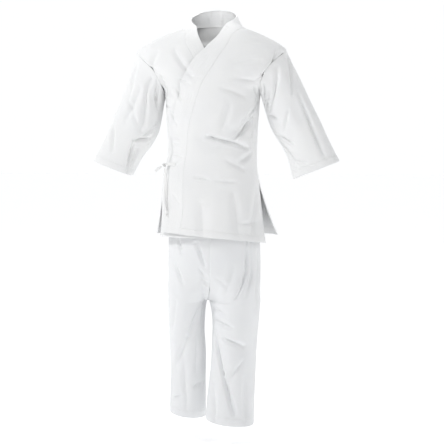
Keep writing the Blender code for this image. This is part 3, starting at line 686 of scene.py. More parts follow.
def kept_depth(y, part, close, leg_faces, z):
    """How far to stretch each row forwards or back, so the leg keeps its depth as it closes."""
    front = -read_table(HIP, 3, z) * (1 - close) + leg_faces[0] * close
    back = read_table(HIP, 4, z) * (1 - close) + leg_faces[1] * close
    forwards = front.mean(axis=1) / y.min(axis=1)
    backwards = back.mean(axis=1) / y.max(axis=1)
    stretch = np.where(y < 0, forwards[:, None], backwards[:, None])
    from_edge = np.minimum(part, 1 - part)
    return 1 + (stretch - 1) * (1 - np.exp(-((from_edge / DEPTH_SPREAD) ** 2)))


def leg_sheet(sections, mirror, folds):
    """A leg: half the hips above the crotch, which closes to a tube down to the hem."""
    hem = sections[-1][0]
    part = np.linspace(0, 1, LEG_COLUMNS + 1)[None, :]
    part = part - INSEAM_CROWD * np.sin(2 * np.pi * part)
    near_edge = np.abs(np.cos(np.pi * part)) ** 1.5
    swing = np.linspace(0, np.pi / 2, CROTCH_ROWS + 1)[1:, None]
    even = swing / (np.pi / 2)
    hip = np.linspace(WAIST - WAISTBAND_DEPTH, CROTCH_START, HIP_ROWS)[:, None] + 0 * part
    curve = CROTCH_START + (CROTCH - CROTCH_START) * (np.sin(swing) * near_edge + even * (1 - near_edge))
    tube = np.linspace(CROTCH, hem, LEG_ROWS - HIP_ROWS - CROTCH_ROWS + 2)[1:, None] + 0 * part
    z = np.concatenate([hip, curve, tube])
    closing = (1 - np.cos(swing)) * near_edge + ease(even, 0, 1) * (1 - near_edge)
    close = np.concatenate([0 * hip, closing, 1 + 0 * tube])
    half, _ = ring_point(HIP, mirror * part * 180.0, z)
    inner, outer, front, back = (read_table(sections, column, z) for column in range(1, 5))
    around = 2 * np.pi * part
    x = (inner + outer) / 2 - (outer - inner) / 2 * np.cos(around)
    y = (front + back) / 2 + (front - back) / 2 * np.sin(around)
    loop = np.stack([x, y, z], axis=-1)
    grid = half * (1 - close[..., None]) + loop * close[..., None]
    grid[..., 1] *= kept_depth(grid[..., 1], part, close, (front, back), z)
    grid[..., 0] += edge_shift(grid, part, close[:, 0], mirror)
    away = grid - grid.mean(axis=1, keepdims=True)
    away = away / np.linalg.norm(away, axis=-1, keepdims=True)
    depth = fold_depth(360.0 * part, z, folds, LEG_DEGREE) * np.sin(np.pi * part) ** 0.5
    grid = grid - away * (depth * ease(-z, 600.0, 700.0))[..., None]
    grid[..., 2] += HEM_TILT[mirror] * np.cos(around) * ease(-z, -TILT_FROM, -hem)
    return sheet_of(grid, z, 360.0 * part)


# %% [markdown]
# ## The gusset and the waistband
# The gusset fills the slit that the legs leave between them, from their own edge points. The waistband
# is a plain ring, as it is hidden under the jacket.

# %% The gusset's and waistband's grids
def gusset_sheet(left, right):
    """The diamond between the legs: down from its front point, under, and up to its back point."""
    rows = np.arange(HIP_ROWS + GUSSET_FROM, HIP_ROWS + CROTCH_ROWS)
    top = rows[0] - 1
    across = np.linspace(0, 1, 5)[None, :, None]

    def tip(column):
        """The gusset's point, part of the way up from its first row, on the right and the left leg."""
        starts = (leg[top, column] for leg in (right, left))
        ends = (leg[rows[0], column] for leg in (right, left))
        return [start + GUSSET_TIP * (end - start) for start, end in zip(starts, ends)]

    lines = [tip(0)]
    lines += [(right[row, 0], left[row, 0]) for row in rows]
    lines += [(right[row, -1], left[row, -1]) for row in rows[::-1][1:]]
    lines += [tip(-1)]
    starts = np.array([line[0] for line in lines])[:, None]
    ends = np.array([line[1] for line in lines])[:, None]
    grid = starts * (1 - across) + ends * across
    return sheet_of(grid, grid[..., 2], 4.0 * across[..., 0])


def waistband_sheet():
    """The waistband's casing, a plain ring on top of both legs."""
    z = np.linspace(WAIST - WAISTBAND_DEPTH, WAIST, 3)[:, None]
    angles = np.linspace(0, 360.0, 2 * LEG_COLUMNS + 1)[None, :-1]
    return sheet_of(ring_point(HIP, angles, z)[0], z, angles)


print("waist to crotch, mm:", WAIST - CROTCH)

# %% [markdown]
# ## From a coarse sheet to fine cloth
# Real canvas bends in short, soft waves that a coarse grid can't hold. Each sheet is read again on
# lines 3 to 4 mm apart, with extra lines beside every hem and seam, where the cloth is folded and
# stitched and its form changes within a millimetre. A subdivision modifier would smooth the sheet just
# as well, but it couldn't put the extra lines where the hems need them.

# %% Fine sheets
LINE_STEP = 3.4
EDGE_LINES = (0.0, 0.8, 2.0, 4.0)
HEM_LINES = (-3.2, -1.6, 0.0, 1.6, 3.2)


def spline_rows(values, places, closed=False):
    """Read a grid between its rows by a smooth spline that passes through them all."""
    count = len(values)
    cell = np.floor(places).astype(int)
    cell = cell if closed else np.clip(cell, 0, count - 2)
    part = (places - cell).reshape((-1,) + (1,) * (values.ndim - 1))

    def row(index):
        if closed:
            return values[index % count]
        inside = values[np.clip(index, 0, count - 1)]
        before = (index < 0).reshape(part.shape)
        after = (index > count - 1).reshape(part.shape)
        inside = np.where(before, 2 * values[0] - values[1], inside)
        return np.where(after, 2 * values[-1] - values[-2], inside)

    a, b, c, d = (row(cell + step) for step in (-1, 0, 1, 2))
    return (
        b
        + (c - a) / 2 * part
        + (a - 2.5 * b + 2 * c - d / 2) * part**2
        + (1.5 * (b - c) + (d - a) / 2) * part**3
    )


def lengths_down(grid):
    """The mean run from a grid's first row to each row, in mm."""
    steps = np.linalg.norm(np.diff(grid, axis=0), axis=-1).mean(axis=1)
    return np.concatenate([[0], np.cumsum(steps)])


def line_places(grid, edges, step, closed=False):
    """Where to read a grid's rows: even lines, and more beside its two edges' hems and seams."""
    if closed:
        grid = np.concatenate([grid, grid[:1]])
    run = lengths_down(grid)
    wanted = list(np.linspace(0, run[-1], max(2, round(run[-1] / step)) + 1))
    fixed = []
    for start, sign, edge in ((0, 1, edges[0]), (run[-1], -1, edges[1])):
        if closed or edge is None:
            continue
        offsets = list(EDGE_LINES)
        if edge > 0:
            offsets += [edge + line for line in HEM_LINES]
        fixed += [start + sign * offset for offset in offsets if offset < run[-1] / 2]
    wanted = [w for w in wanted if all(abs(w - f) > 1.2 for f in fixed)] + fixed
    places = np.interp(sorted(wanted), run, np.arange(len(grid)))
    return places[:-1] if closed else places


def fine_sheet(sheet, hems, step, closed=False):
    """A sheet read on fine lines. hems holds its first and last row's and column's hem widths."""
    grid = sheet["grid"]
    rows = line_places(grid, hems[:2], step)
    columns = line_places(grid.swapaxes(0, 1), hems[2:], step, closed)

    def read(values, wrap=0.0):
        values = spline_rows(values, rows)
        if closed and wrap:
            values = np.concatenate([values, values[:, :1] - wrap], axis=1)
            return spline_rows(values.swapaxes(0, 1), columns).swapaxes(0, 1)
        return spline_rows(values.swapaxes(0, 1), columns, closed).swapaxes(0, 1)

    fine = {"grid": read(grid), "down": read(np.array(sheet["down"], dtype=float)), "closed": closed}
    fine["across"] = read(np.array(sheet["across"], dtype=float), wrap=360.0 if closed else 0.0)
    return fine


# %% [markdown]
# ## Which way is out, and how far from an edge
# Hems and stitches lie at a set distance from an edge, and everything raised on the cloth goes outwards.
# Both are measured on the fine sheet itself. Blender could give the normals, but only of a finished mesh.

# %% Outward directions and runs
def grid_normals(grid, closed, inside):
    """Unit normals at a grid's points, facing away from the given inside point."""
    if closed:
        grid = np.concatenate([grid, grid[:, :1]], axis=1)
    cells = np.cross(grid[1:, 1:] - grid[:-1, :-1], grid[1:, :-1] - grid[:-1, 1:])
    total = np.zeros_like(grid)
    for rows in (slice(1, None), slice(None, -1)):
        for columns in (slice(1, None), slice(None, -1)):
            total[rows, columns] += cells
    if closed:
        total[:, 0] += total[:, -1]
        total = total[:, :-1]
        grid = grid[:, :-1]
    total = total / np.maximum(np.linalg.norm(total, axis=-1, keepdims=True), 1e-9)
    return total if np.sum(total * (grid - np.asarray(inside, dtype=float))) > 0 else -total


def edge_runs(grid, closed):
    """For each point, its run in mm from the first row, last row, first column and last column."""
    if closed:
        grid = np.concatenate([grid, grid[:, :1]], axis=1)
    down = np.linalg.norm(np.diff(grid, axis=0), axis=-1)
    across = np.linalg.norm(np.diff(grid, axis=1), axis=-1)
    from_first = np.concatenate([np.zeros((1, grid.shape[1])), np.cumsum(down, axis=0)])
    from_left = np.concatenate([np.zeros((grid.shape[0], 1)), np.cumsum(across, axis=1)], axis=1)
    runs = [from_first, from_first[-1:] - from_first, from_left, from_left[:, -1:] - from_left]
    return [run[:, :-1] for run in runs] if closed else runs


print("lines over 100 mm of cloth:", round(100 / LINE_STEP))

# %% [markdown]
# ## Creases
# Heavy canvas doesn't fold like silk: it breaks in a few strong creases where the body bends, at the
# armpits, the elbows, above the tie and behind the knees, and stays smooth between. Each crease here
# runs along a short line and tapers at its ends. Their places on the front come from the photo, and
# the sides and back have similar ones. A cloth simulation would make folds of its own choosing, and
# this cloth has to break where the photo's does.

# %% Crease tables
# Columns angle_a, z_a, angle_b, z_b, half_width, depth: angles round the body, heights in mm
JACKET_CREASES = (
    (69, -301, 32, -377, 9, 6.5),
    (0, -371, 54, -407, 8, 6.0),
    (0, -366, 9, -384, 6, 3.5),
    (58, -286, 40, -338, 7, 2.5),
    (84, -250, 60, -296, 8, 4.0),
    (80, -330, 62, -372, 7, 3.0),
    (22, -179, 47, -187, 9, 2.5),
    (14, -213, 44, -237, 12, 3.0),
    (20, -130, 40, -118, 14, 2.5),
    (60, -128, 50, -178, 7, 3.0),
    (72, -92, 62, -148, 5, 3.5),
    (60, -84, 54, -166, 6, 4.0),
    (78, -236, 58, -206, 6, 3.5),
    (32, -60, 50, -57, 9, 1.2),
    (-9, -505, 2, -511, 7, 2.5),
    (11, -517, 36, -521, 8, 2.5),
    (37, -656, 60, -654, 8, 2.5),
    (24, -267, 15, -347, 16, 3.0),
    (20, -445, 48, -479, 13, 3.0),
    (68, -420, 40, -452, 12, 3.0),
    (70, -560, 52, -690, 18, 4.0),
    (30, -560, 34, -700, 20, 3.5),
    (-4, -590, -2, -700, 16, 3.0),
    (72, -241, 74, -480, 12, 3.5),
    (-38, -90, -54, -152, 9, 4.0),
    (-46, -172, -72, -246, 7, 5.0),
    (-58, -178, -76, -226, 6, 4.0),
    (-70, -180, -78, -240, 6, 4.0),
    (-82, -262, -60, -274, 6, 4.0),
    (-84, -290, -66, -322, 7, 4.0),
    (-22, -80, -13, -172, 9, 3.5),
    (-26, -184, -17, -196, 6, 2.5),
    (-40, -212, -30, -257, 8, 4.0),
    (-57, -287, -42, -327, 10, 4.5),
    (-62, -360, -52, -420, 11, 3.5),
    (-74, -330, -66, -452, 10, 3.0),
    (-56, -429, -64, -463, 8, 4.0),
    (-74, -480, -70, -640, 15, 4.0),
    (-62, -500, -58, -600, 12, 3.0),
    (112, -250, 132, -330, 12, 4.5),
    (124, -290, 168, -372, 12, 5.0),
    (250, -262, 226, -340, 12, 4.5),
    (238, -330, 196, -398, 12, 5.0),
    (140, -420, 176, -428, 10, 4.0),
    (188, -446, 226, -432, 10, 4.0),
    (152, -470, 170, -560, 14, 3.5),
    (208, -480, 196, -600, 14, 3.5),
    (124, -560, 118, -696, 16, 4.5),
    (160, -600, 158, -700, 18, 4.0),
    (206, -590, 210, -700, 18, 4.0),
    (240, -540, 246, -696, 16, 4.5),
    (126, -120, 150, -210, 12, 4.0),
    (234, -118, 212, -214, 12, 4.0),
    (150, -52, 208, -50, 12, 2.5),
    (104, -300, 100, -470, 12, 3.5),
    (258, -310, 262, -480, 12, 3.5),
)

# %% [markdown]
# ## Creases in the band
# The band is stiff, so it only kinks, in short marks above and below the tie and where it turns at the
# neck. It also takes a share of the panels' creases under it.

# %% The band's creases
# The band bends with the panels under it, and kinks above the tie
BAND_CREASES = (
    (-50, -377, -34, -384, 7, 2.5),
    (-48, -392, -32, -402, 6, 2.0),
    (-50, -428, -30, -436, 6, 2.5),
    (-47, -470, -33, -455, 6, 1.8),
    (-40, -560, -30, -590, 8, 1.5),
    (-20, -160, -6, -178, 10, 1.5),
    (20, 0, 30, -24, 8, 1.2),
    (-26, -16, -22, -30, 8, 1.2),
    (168, 58, 172, 20, 10, 1.5),
    (200, 56, 196, 20, 10, 1.5),
)

# %% [markdown]
# ## Creases in the sleeves
# A sleeve buckles under the arm and inside the elbow, and hangs in long soft lines to the cuff. Places
# along the sleeve are parts of its length, so both sleeves can be read the same way.

# %% The sleeves' creases
# Sleeves: columns around_a, along_a, around_b, along_b, half_width, depth
SLEEVE_LEFT_CREASES = (
    (6, 0.04, 62, 0.36, 10, 4.0),
    (46, 0.40, 56, 0.92, 11, 5.0),
    (66, 0.08, 136, 0.30, 11, 5.0),
    (120, 0.04, 158, 0.16, 6, 5.0),
    (140, 0.02, 170, 0.10, 6, 4.0),
    (132, 0.18, 166, 0.24, 6, 4.0),
    (150, 0.34, 128, 0.44, 6, 4.0),
    (147, 0.06, 128, 0.26, 8, -3.0),
    (136, 0.87, 106, 0.93, 6, 3.0),
    (162, 0.62, 138, 0.92, 9, 6.0),
    (150, 0.58, 120, 0.74, 7, 4.5),
    (90, 0.46, 128, 0.60, 8, 2.5),
    (166, 0.28, 158, 0.70, 10, 3.5),
    (230, 0.08, 216, 0.34, 10, 5.0),
    (260, 0.30, 230, 0.62, 12, 5.0),
    (300, 0.20, 286, 0.58, 12, 4.0),
    (246, 0.66, 262, 0.94, 10, 3.5),
    (320, 0.62, 306, 0.90, 12, 3.5),
)
SLEEVE_RIGHT_CREASES = (
    (39, 0.72, 74, 0.88, 10, 4.0),
    (116, 0.76, 140, 0.97, 9, 7.5),
    (134, 0.78, 150, 0.96, 7, 4.5),
    (112, 0.72, 156, 0.60, 8, 6.0),
    (122, 0.66, 150, 0.50, 6, 4.0),
    (126, 0.60, 160, 0.42, 6, 3.5),
    (84, 0.24, 68, 0.62, 12, 3.5),
    (99, 0.06, 116, 0.60, 11, 4.0),
    (128, 0.04, 150, 0.26, 7, 6.0),
    (112, 0.02, 138, 0.18, 6, 4.0),
    (40, 0.10, 56, 0.40, 12, 3.0),
    (56, 0.44, 100, 0.56, 10, 2.5),
    (168, 0.30, 160, 0.66, 10, 3.5),
    (228, 0.08, 214, 0.32, 10, 5.0),
    (262, 0.28, 232, 0.60, 12, 5.0),
    (302, 0.22, 288, 0.56, 12, 4.0),
    (244, 0.68, 260, 0.92, 10, 3.5),
    (318, 0.60, 304, 0.88, 12, 3.5),
)

# %% [markdown]
# ## Creases in the legs
# The legs crease where they are sat in: from the crotch outwards, behind the knee, and in long lines
# down to the hem.

# %% The legs' creases
# Legs: columns around_a, z_a, around_b, z_b, half_width, depth
LEG_LEFT_CREASES = (
    (96, -716, 88, -905, 8, 4.5),
    (112, -716, 116, -900, 8, 2.5),
    (36, -986, 88, -1003, 9, 4.5),
    (66, -1042, 120, -1070, 9, 5.0),
    (31, -1025, 72, -1170, 8, 7.0),
    (70, -1160, 108, -1301, 9, 7.0),
    (34, -950, 74, -956, 10, 3.5),
    (14, -842, 50, -874, 9, 2.0),
    (52, -800, 44, -880, 14, 1.5),
    (120, -1120, 92, -1180, 12, 3.5),
    (44, -1200, 58, -1330, 12, 4.0),
    (128, -1180, 136, -1320, 14, 4.0),
    (150, -760, 156, -940, 14, 4.0),
    (216, -850, 250, -940, 12, 5.0),
    (306, -930, 262, -968, 10, 5.0),
    (250, -1010, 304, -1050, 11, 5.5),
    (228, -1070, 288, -1100, 11, 5.0),
    (262, -1120, 240, -1300, 14, 5.0),
    (312, -1120, 300, -1320, 13, 4.5),
    (200, -1000, 206, -1200, 14, 4.0),
)
LEG_RIGHT_CREASES = (
    (84, -712, 73, -757, 9, 4.0),
    (98, -800, 70, -856, 10, 4.0),
    (26, -938, 74, -1050, 14, 4.5),
    (74, -1050, 122, -1156, 14, 4.0),
    (58, -1230, 30, -1214, 8, 3.5),
    (137, -1278, 105, -1263, 8, 3.0),
    (28, -722, 9, -796, 7, 4.5),
    (22, -806, 6, -842, 6, 2.5),
    (18, -836, 4, -868, 5, 3.0),
    (16, -868, 5, -902, 5, 3.0),
    (14, -860, 16, -1219, 9, 5.0),
    (112, -920, 134, -1040, 13, 3.5),
    (92, -1130, 84, -1310, 16, 3.5),
    (44, -1060, 52, -1180, 12, 3.0),
    (140, -1080, 146, -1300, 14, 4.0),
    (216, -850, 250, -940, 12, 5.0),
    (306, -930, 262, -968, 10, 5.0),
    (246, -1014, 300, -1044, 11, 5.5),
    (226, -1080, 284, -1096, 11, 5.0),
    (264, -1120, 244, -1300, 14, 5.0),
    (314, -1130, 304, -1320, 13, 4.5),
    (200, -1000, 206, -1200, 14, 4.0),
)


# %% [markdown]
# ## The shape of one crease
# Across a crease, pressed canvas has a wide soft trough, a sharp line in its middle where the threads
# broke, and a low ridge beside it where the cloth was pushed up. Between the creases the cloth still
# waves a little, and its seams and hems sink and pucker. Sculpting by brush would give this too, but
# not the same on every piece.

# %% Crease and hem forms
CREASE_GAIN = 2.5
CORE_WIDTH = 0.42
CORE_SHARE = 0.45
RIDGE_SHARE = 0.8


def crease_depth(across, down, creases, scale, period=0.0):
    """How far creases push the cloth inwards: a trough with a sharp middle and a soft ridge beside."""
    total = np.zeros(np.broadcast(across, down).shape)
    for number, crease in enumerate(creases):
        away, part = off_segment(across, down, crease, scale, period)
        taper = 0.25 + 0.75 * np.sin(np.pi * np.clip(part, 0.06, 0.94)) ** 0.8
        width = crease[4] * (0.8 + 0.4 * part if number % 2 else 1.2 - 0.4 * part)
        reach = (away / width) ** 2
        trough = (1 - RIDGE_SHARE * reach) * np.exp(-reach)
        core = np.exp(-np.abs(away) / (CORE_WIDTH * width))
        total = total + crease[5] * taper * ((1 - CORE_SHARE) * trough + CORE_SHARE * core)
    return CREASE_GAIN * total


RUMPLE_STEP = 62.0
RUMPLE_DEPTH = 1.5
FINE_STEP = 21.0
FINE_DEPTH = 0.35
PUCKER_STEP = 9.0
SEAM_DIP = 0.9
SEAM_HALF = 1.6
HEM_LIFT = 0.6
HEM_PUCKER = 0.5
HEM_STEP = (0.8, 2.4)
ROW_IN = 1.6
ROW_DIP = 1.2
ROW_HALF = 1.4


def rumple(points, step, seed):
    """Soft uneven waves in the cloth, from -1 to 1, about one step long."""
    flat = points.reshape(-1, 3) / step
    shift = Vector((seed * 7.3, seed * 3.1, seed * 5.7))
    values = [noise.noise(Vector((x, y, z * 0.6)) + shift) for x, y, z in flat]
    return np.array(values).reshape(points.shape[:-1])


def hem_form(runs, hems, along_noise):
    """How a panel's edges stand out: seams and rows of stitches sink, and turned hems pucker."""
    out = np.zeros_like(runs[0])
    for run, hem in zip(runs, hems):
        if hem is None:
            continue
        out = out - SEAM_DIP * np.exp(-((run / SEAM_HALF) ** 2))
        if hem > 0:
            turned = 1 - ease(run, hem + HEM_STEP[0], hem + HEM_STEP[1])
            out = out + turned * (HEM_LIFT + HEM_PUCKER * along_noise)
            out = out - ROW_DIP * np.exp(-(((run - hem + ROW_IN) / ROW_HALF) ** 2))
    return out


print("creases:", len(JACKET_CREASES) + len(BAND_CREASES) + len(LEG_LEFT_CREASES) + len(LEG_RIGHT_CREASES))

# %% [markdown]
# ## The shell
# Karate canvas is about a millimetre thick, and twice that where a hem is turned under. Each fine sheet
# becomes a closed shell: its outer face is the sheet moved by creases, waves and hems, and its inner
# face lies one cloth thickness further in. A solidify modifier would give the thickness too, but not
# the thicker hems. Two runs of measure, across and down the cloth, are kept as a UV map in millimetres,
# so that the weave has its real size on every piece.

# %% Shell maker
SHELL_WALL = 1.3
HEM_WALL = 1.0
EDGE_ANGLE = 55


def mesh_object(name, points, faces, uv, material, sharp_angle=None):
    """Make an object from points in mm, with a UV map in millimetres for its weave."""
    mesh = bpy.data.meshes.new(name)
    mesh.from_pydata((np.asarray(points).reshape(-1, 3) * MM).tolist(), [], faces)
    layer = mesh.uv_layers.new(name="cloth_mm")
    layer.data.foreach_set("uv", np.asarray(uv, dtype=np.float32).reshape(-1))
    mesh.update()
    mesh.shade_smooth()
    if sharp_angle:
        mesh.set_sharp_from_angle(angle=math.radians(sharp_angle))
    mesh.materials.append(material)
    made = bpy.data.objects.new(name, mesh)
    bpy.context.scene.collection.objects.link(made)
    return made


def on_body(made):
    """Let a piece ride on the part's one body."""
    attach(made, "root")
    return made


# %% [markdown]
# ## The faces of a shell
# A shell has an outer and an inner face and a rim that joins them, so it is closed like a real sheet of
# cloth. The faces are counted off in rows and columns.

# %% Faces of a shell
def cells_of(rows, columns, closed):
    """Row and column numbers of the four corners of every cell, and whether each corner wraps."""
    spans = columns if closed else columns - 1
    row, column = np.meshgrid(np.arange(rows - 1), np.arange(spans), indexing="ij")
    row = row.ravel()
    column = column.ravel()
    corner_rows = np.stack([row, row, row + 1, row + 1], axis=1)
    corner_columns = np.stack([column, column + 1, column + 1, column], axis=1)
    return corner_rows, corner_columns % columns, corner_columns >= columns


def rim_quads(rows, columns, closed):
    """Quads, as (row, column, side) corners, that join the outer and inner face round the edges."""
    quads = []
    spans = columns if closed else columns - 1
    for column in range(spans):
        for row, turn in ((0, 1), (rows - 1, -1)):
            following = (column + 1) % columns
            quad = [(row, column, 0), (row, column, 1), (row, following, 1), (row, following, 0)]
            quads.append(quad[::turn])
    if not closed:
        for row in range(rows - 1):
            for column, turn in ((0, -1), (columns - 1, 1)):
                quad = [(row, column, 0), (row, column, 1), (row + 1, column, 1), (row + 1, column, 0)]
                quads.append(quad[::turn])
    return np.array(quads)


def shell_mesh(name, outer, inner, runs, closed, material):
    """Join an outer and an inner face into one closed shell with its UV map in millimetres."""
    rows, columns = outer.shape[:2]
    count = rows * columns
    across, down = runs[2], runs[0]
    widest = (runs[2] + runs[3]).mean()
    corner_rows, corner_columns, wraps = cells_of(rows, columns, closed)
    face = corner_rows * columns + corner_columns
    face_uv = np.stack([across[corner_rows, corner_columns], down[corner_rows, corner_columns]], axis=-1)
    face_uv[..., 0] += np.where(wraps, widest, 0.0)
    rim = rim_quads(rows, columns, closed)
    rim_face = rim[..., 2] * count + rim[..., 0] * columns + rim[..., 1]
    rim_uv = np.stack([across[rim[..., 0], rim[..., 1]], down[rim[..., 0], rim[..., 1]]], axis=-1)
    quads = np.concatenate([face, (face + count)[:, ::-1], rim_face])
    uv = np.concatenate([face_uv, face_uv[:, ::-1], rim_uv])
    step_a = outer[1:, 1:] - outer[:-1, :-1]
    step_b = outer[1:, :-1] - outer[:-1, 1:]
    if np.sum(np.cross(step_a, step_b) * (outer[:-1, :-1] - inner[:-1, :-1])) < 0:
        quads = quads[:, ::-1]
        uv = uv[:, ::-1]
    points = np.concatenate([outer.reshape(-1, 3), inner.reshape(-1, 3)])
    return mesh_object(name, points, quads.tolist(), uv, material, EDGE_ANGLE)


# %% [markdown]
# ## One piece of cloth
# A cutter measures a panel flat, before it is sewn and worn, and so does the first function. The second
# one adds everything that wear and sewing do to it, and makes the shell.

# %% Cloth maker
def flat_cut(sheet, closed):
    """The width, length and area of a sheet laid flat, in metres, measured before its creases."""
    grid = sheet["grid"]
    if closed:
        grid = np.concatenate([grid, grid[:, :1]], axis=1)
    length = np.linalg.norm(np.diff(grid, axis=0), axis=-1).sum(axis=0).max()
    width = np.linalg.norm(np.diff(grid, axis=1), axis=-1).sum(axis=1).max()
    cells = np.cross(grid[1:, 1:] - grid[:-1, :-1], grid[1:, :-1] - grid[:-1, 1:])
    area = np.linalg.norm(cells, axis=-1).sum() / 2
    return width * MM, length * MM, area * MM * MM


def make_cloth(name, sheet, look, inside, closed=False):
    """Make one piece of cloth from its sheet. look holds its creases, hems, stand-off and material."""
    fine = fine_sheet(sheet, look["hems"], look.get("step", LINE_STEP), closed)
    grid = fine["grid"]
    normals = grid_normals(grid, closed, inside)
    runs = edge_runs(grid, closed)
    period = look.get("period", 0.0)
    depth = crease_depth(fine["across"], fine["down"], look["creases"], look["scale"], period)
    depth = depth * look.get("share", 1.0)
    waves = RUMPLE_DEPTH * rumple(grid, RUMPLE_STEP, 1) + FINE_DEPTH * rumple(grid, FINE_STEP, 2)
    hems = hem_form(runs, look["hems"], rumple(grid, PUCKER_STEP, 3))
    quilting = look.get("quilting")
    quilt = quilting(runs) if quilting else 0.0
    out = look.get("proud", 0.0) + waves - depth + hems + quilt
    outer = grid + normals * out[..., None]
    turned = sum(1 - ease(run, h, h + HEM_STEP[1]) for run, h in zip(runs, look["hems"]) if h)
    wall = look.get("wall", SHELL_WALL) + HEM_WALL * np.clip(turned, 0, 1)
    inner = outer - normals * (wall * np.ones(grid.shape[:2]))[..., None]
    made = shell_mesh(name, outer, inner, runs, closed, look["material"])
    print(f"{name}: {2 * len(made.data.polygons)} triangles, {flat_cut(sheet, closed)[2]:.3f} m2 flat")
    return {"made": made, "outer": outer, "normals": normals, "runs": runs, "closed": closed}


print("cloth at a hem, mm thick:", SHELL_WALL + HEM_WALL)

# %% [markdown]
# ## Bleached cotton canvas
# The cloth is plain-woven bleached cotton: every thread goes over one and under the next, which shows
# close up as a fine grid of bumps and from afar as a dead matt white. It could be a photo of canvas
# laid over the model, but a photo carries its own light and repeats. Here the weave is the product of
# two waves, one along each thread direction, on the millimetre map. The real threads are 0.5 mm apart
# and drawn 1.6 mm apart, because at this picture's scale the real ones would only flicker.

# %% Materials
THREAD_MM = 1.6
TWILL_MM = 2.2
WAVE_PERIOD = 2 * math.pi / 20


def linear(hex_colour):
    """An sRGB hex colour as the linear values a shader takes."""
    parts = [int(hex_colour[i : i + 2], 16) / 255 for i in (1, 3, 5)]
    return (*[p / 12.92 if p <= 0.04045 else ((p + 0.055) / 1.055) ** 2.4 for p in parts], 1.0)


def node(tree, kind, settings=(), links=()):
    """Add a node, set its attributes and sockets, and link its inputs. Sockets go by name or number."""
    made = tree.nodes.new(kind)
    for key, value in dict(settings).items():
        if isinstance(key, str) and hasattr(made, key):
            setattr(made, key, value)
        else:
            made.inputs[key].default_value = value
    for key, source in dict(links).items():
        tree.links.new(source, made.inputs[key])
    return made


# %% [markdown]
# ## One recipe for all the cotton
# All the cloths are bleached cotton and differ in thread, thickness and finish. One recipe with those
# values keeps them alike, and the eye reads them as one set. A dead matt finish with a little sheen
# from loose fibres is what tells cotton from plastic.

# %% Woven cotton
def woven_cotton(name, colour, shade, thread_mm, weave_depth, roughness):
    """Woven cotton: a matt white whose grid of threads and faint rumples break up the light."""
    material = bpy.data.materials.new(name)
    material.use_nodes = True
    tree = material.node_tree
    tree.nodes.clear()
    cloth = node(tree, "ShaderNodeUVMap", {"uv_map": "cloth_mm"})
    place = node(tree, "ShaderNodeTexCoord")
    waves = {}
    for direction in ("X", "Y"):
        settings = {"wave_type": "BANDS", "bands_direction": direction}
        settings |= {"Scale": WAVE_PERIOD / thread_mm, "Distortion": 0.6, "Detail": 1.0}
        waves[direction] = node(tree, "ShaderNodeTexWave", settings, {"Vector": cloth.outputs["UV"]})
    warp, weft = (waves[direction].outputs["Fac"] for direction in ("X", "Y"))
    threads = node(tree, "ShaderNodeMath", {"operation": "MULTIPLY"}, {0: warp, 1: weft})
    # Faint dents 14 mm across, that heavy canvas keeps from being folded
    dents = node(
        tree,
        "ShaderNodeTexNoise",
        {"Scale": 1 / 0.014, "Detail": 3.0, "Roughness": 0.55},
        {"Vector": place.outputs["Object"]},
    )
    # Slightly warmer and cooler patches 90 mm across, from uneven washing
    patches = node(
        tree,
        "ShaderNodeTexNoise",
        {"Scale": 1 / 0.09, "Detail": 2.0},
        {"Vector": place.outputs["Object"]},
    )
    tone = node(
        tree,
        "ShaderNodeMix",
        {"data_type": "RGBA", 6: linear(colour), 7: linear(shade)},
        {0: patches.outputs["Fac"]},
    )
    # Light catches less between the threads, so the gaps are a shade darker
    gaps = node(
        tree,
        "ShaderNodeMapRange",
        {"From Min": 0.0, "From Max": 0.5, "To Min": 0.955, "To Max": 1.0},
        {"Value": threads.outputs[0]},
    )
    tone = node(
        tree,
        "ShaderNodeVectorMath",
        {"operation": "SCALE"},
        {0: tone.outputs[2], "Scale": gaps.outputs["Result"]},
    )
    dented = node(
        tree,
        "ShaderNodeBump",
        {"Strength": 0.55, "Distance": 0.0009},
        {"Height": dents.outputs["Fac"]},
    )
    woven = node(
        tree,
        "ShaderNodeBump",
        {"Strength": 0.5, "Distance": weave_depth * MM},
        {"Height": threads.outputs[0], "Normal": dented.outputs["Normal"]},
    )
    shader = node(
        tree,
        "ShaderNodeBsdfPrincipled",
        {"Roughness": roughness, "IOR": 1.5, "Sheen Weight": 0.12, "Sheen Roughness": 0.5},
        {"Base Color": tone.outputs[0], "Normal": woven.outputs["Normal"]},
    )
    node(tree, "ShaderNodeOutputMaterial", (), {"Surface": shader.outputs[0]})
    return material


# %% [markdown]
# ## The cottons of this set
# Canvas for the jacket, heavier drill for the band, softer canvas for the trousers, tape and thread.

# %% The set's five cottons
CANVAS = woven_cotton("bleached cotton canvas, plain weave", "#F5F5F4", "#EFF0F1", THREAD_MM, 0.35, 0.86)
DRILL = woven_cotton("bleached cotton drill, stitched band", "#F6F6F5", "#F0F1F2", TWILL_MM, 0.45, 0.82)
TROUSER_CANVAS = woven_cotton("light cotton canvas, washed", "#F3F4F4", "#EDEEF0", THREAD_MM, 0.3, 0.86)
TAPE = woven_cotton("cotton tape, tabby weave", "#F4F4F2", "#EEEEEE", 1.2, 0.3, 0.84)
THREAD = woven_cotton("white sewing thread, twisted", "#F8F8F7", "#F2F2F2", 0.8, 0.1, 0.6)
print("materials:", [m.name for m in (CANVAS, DRILL, TROUSER_CANVAS, TAPE, THREAD)])

# %% [markdown]
# ## Sewing thread
# Every hem is held by a row of lockstitches, 3 mm long, that sink a little into the cloth. They could be
# painted on as a bump, but then they would vanish at a grazing angle. Here each stitch is a small
# spindle of thread, and all the stitches of a piece are one mesh.

# %% Stitches
STITCH_PITCH = 4.0
STITCH_LENGTH = 3.0
THREAD_HALF = 0.38
STITCH_SIDES = 5


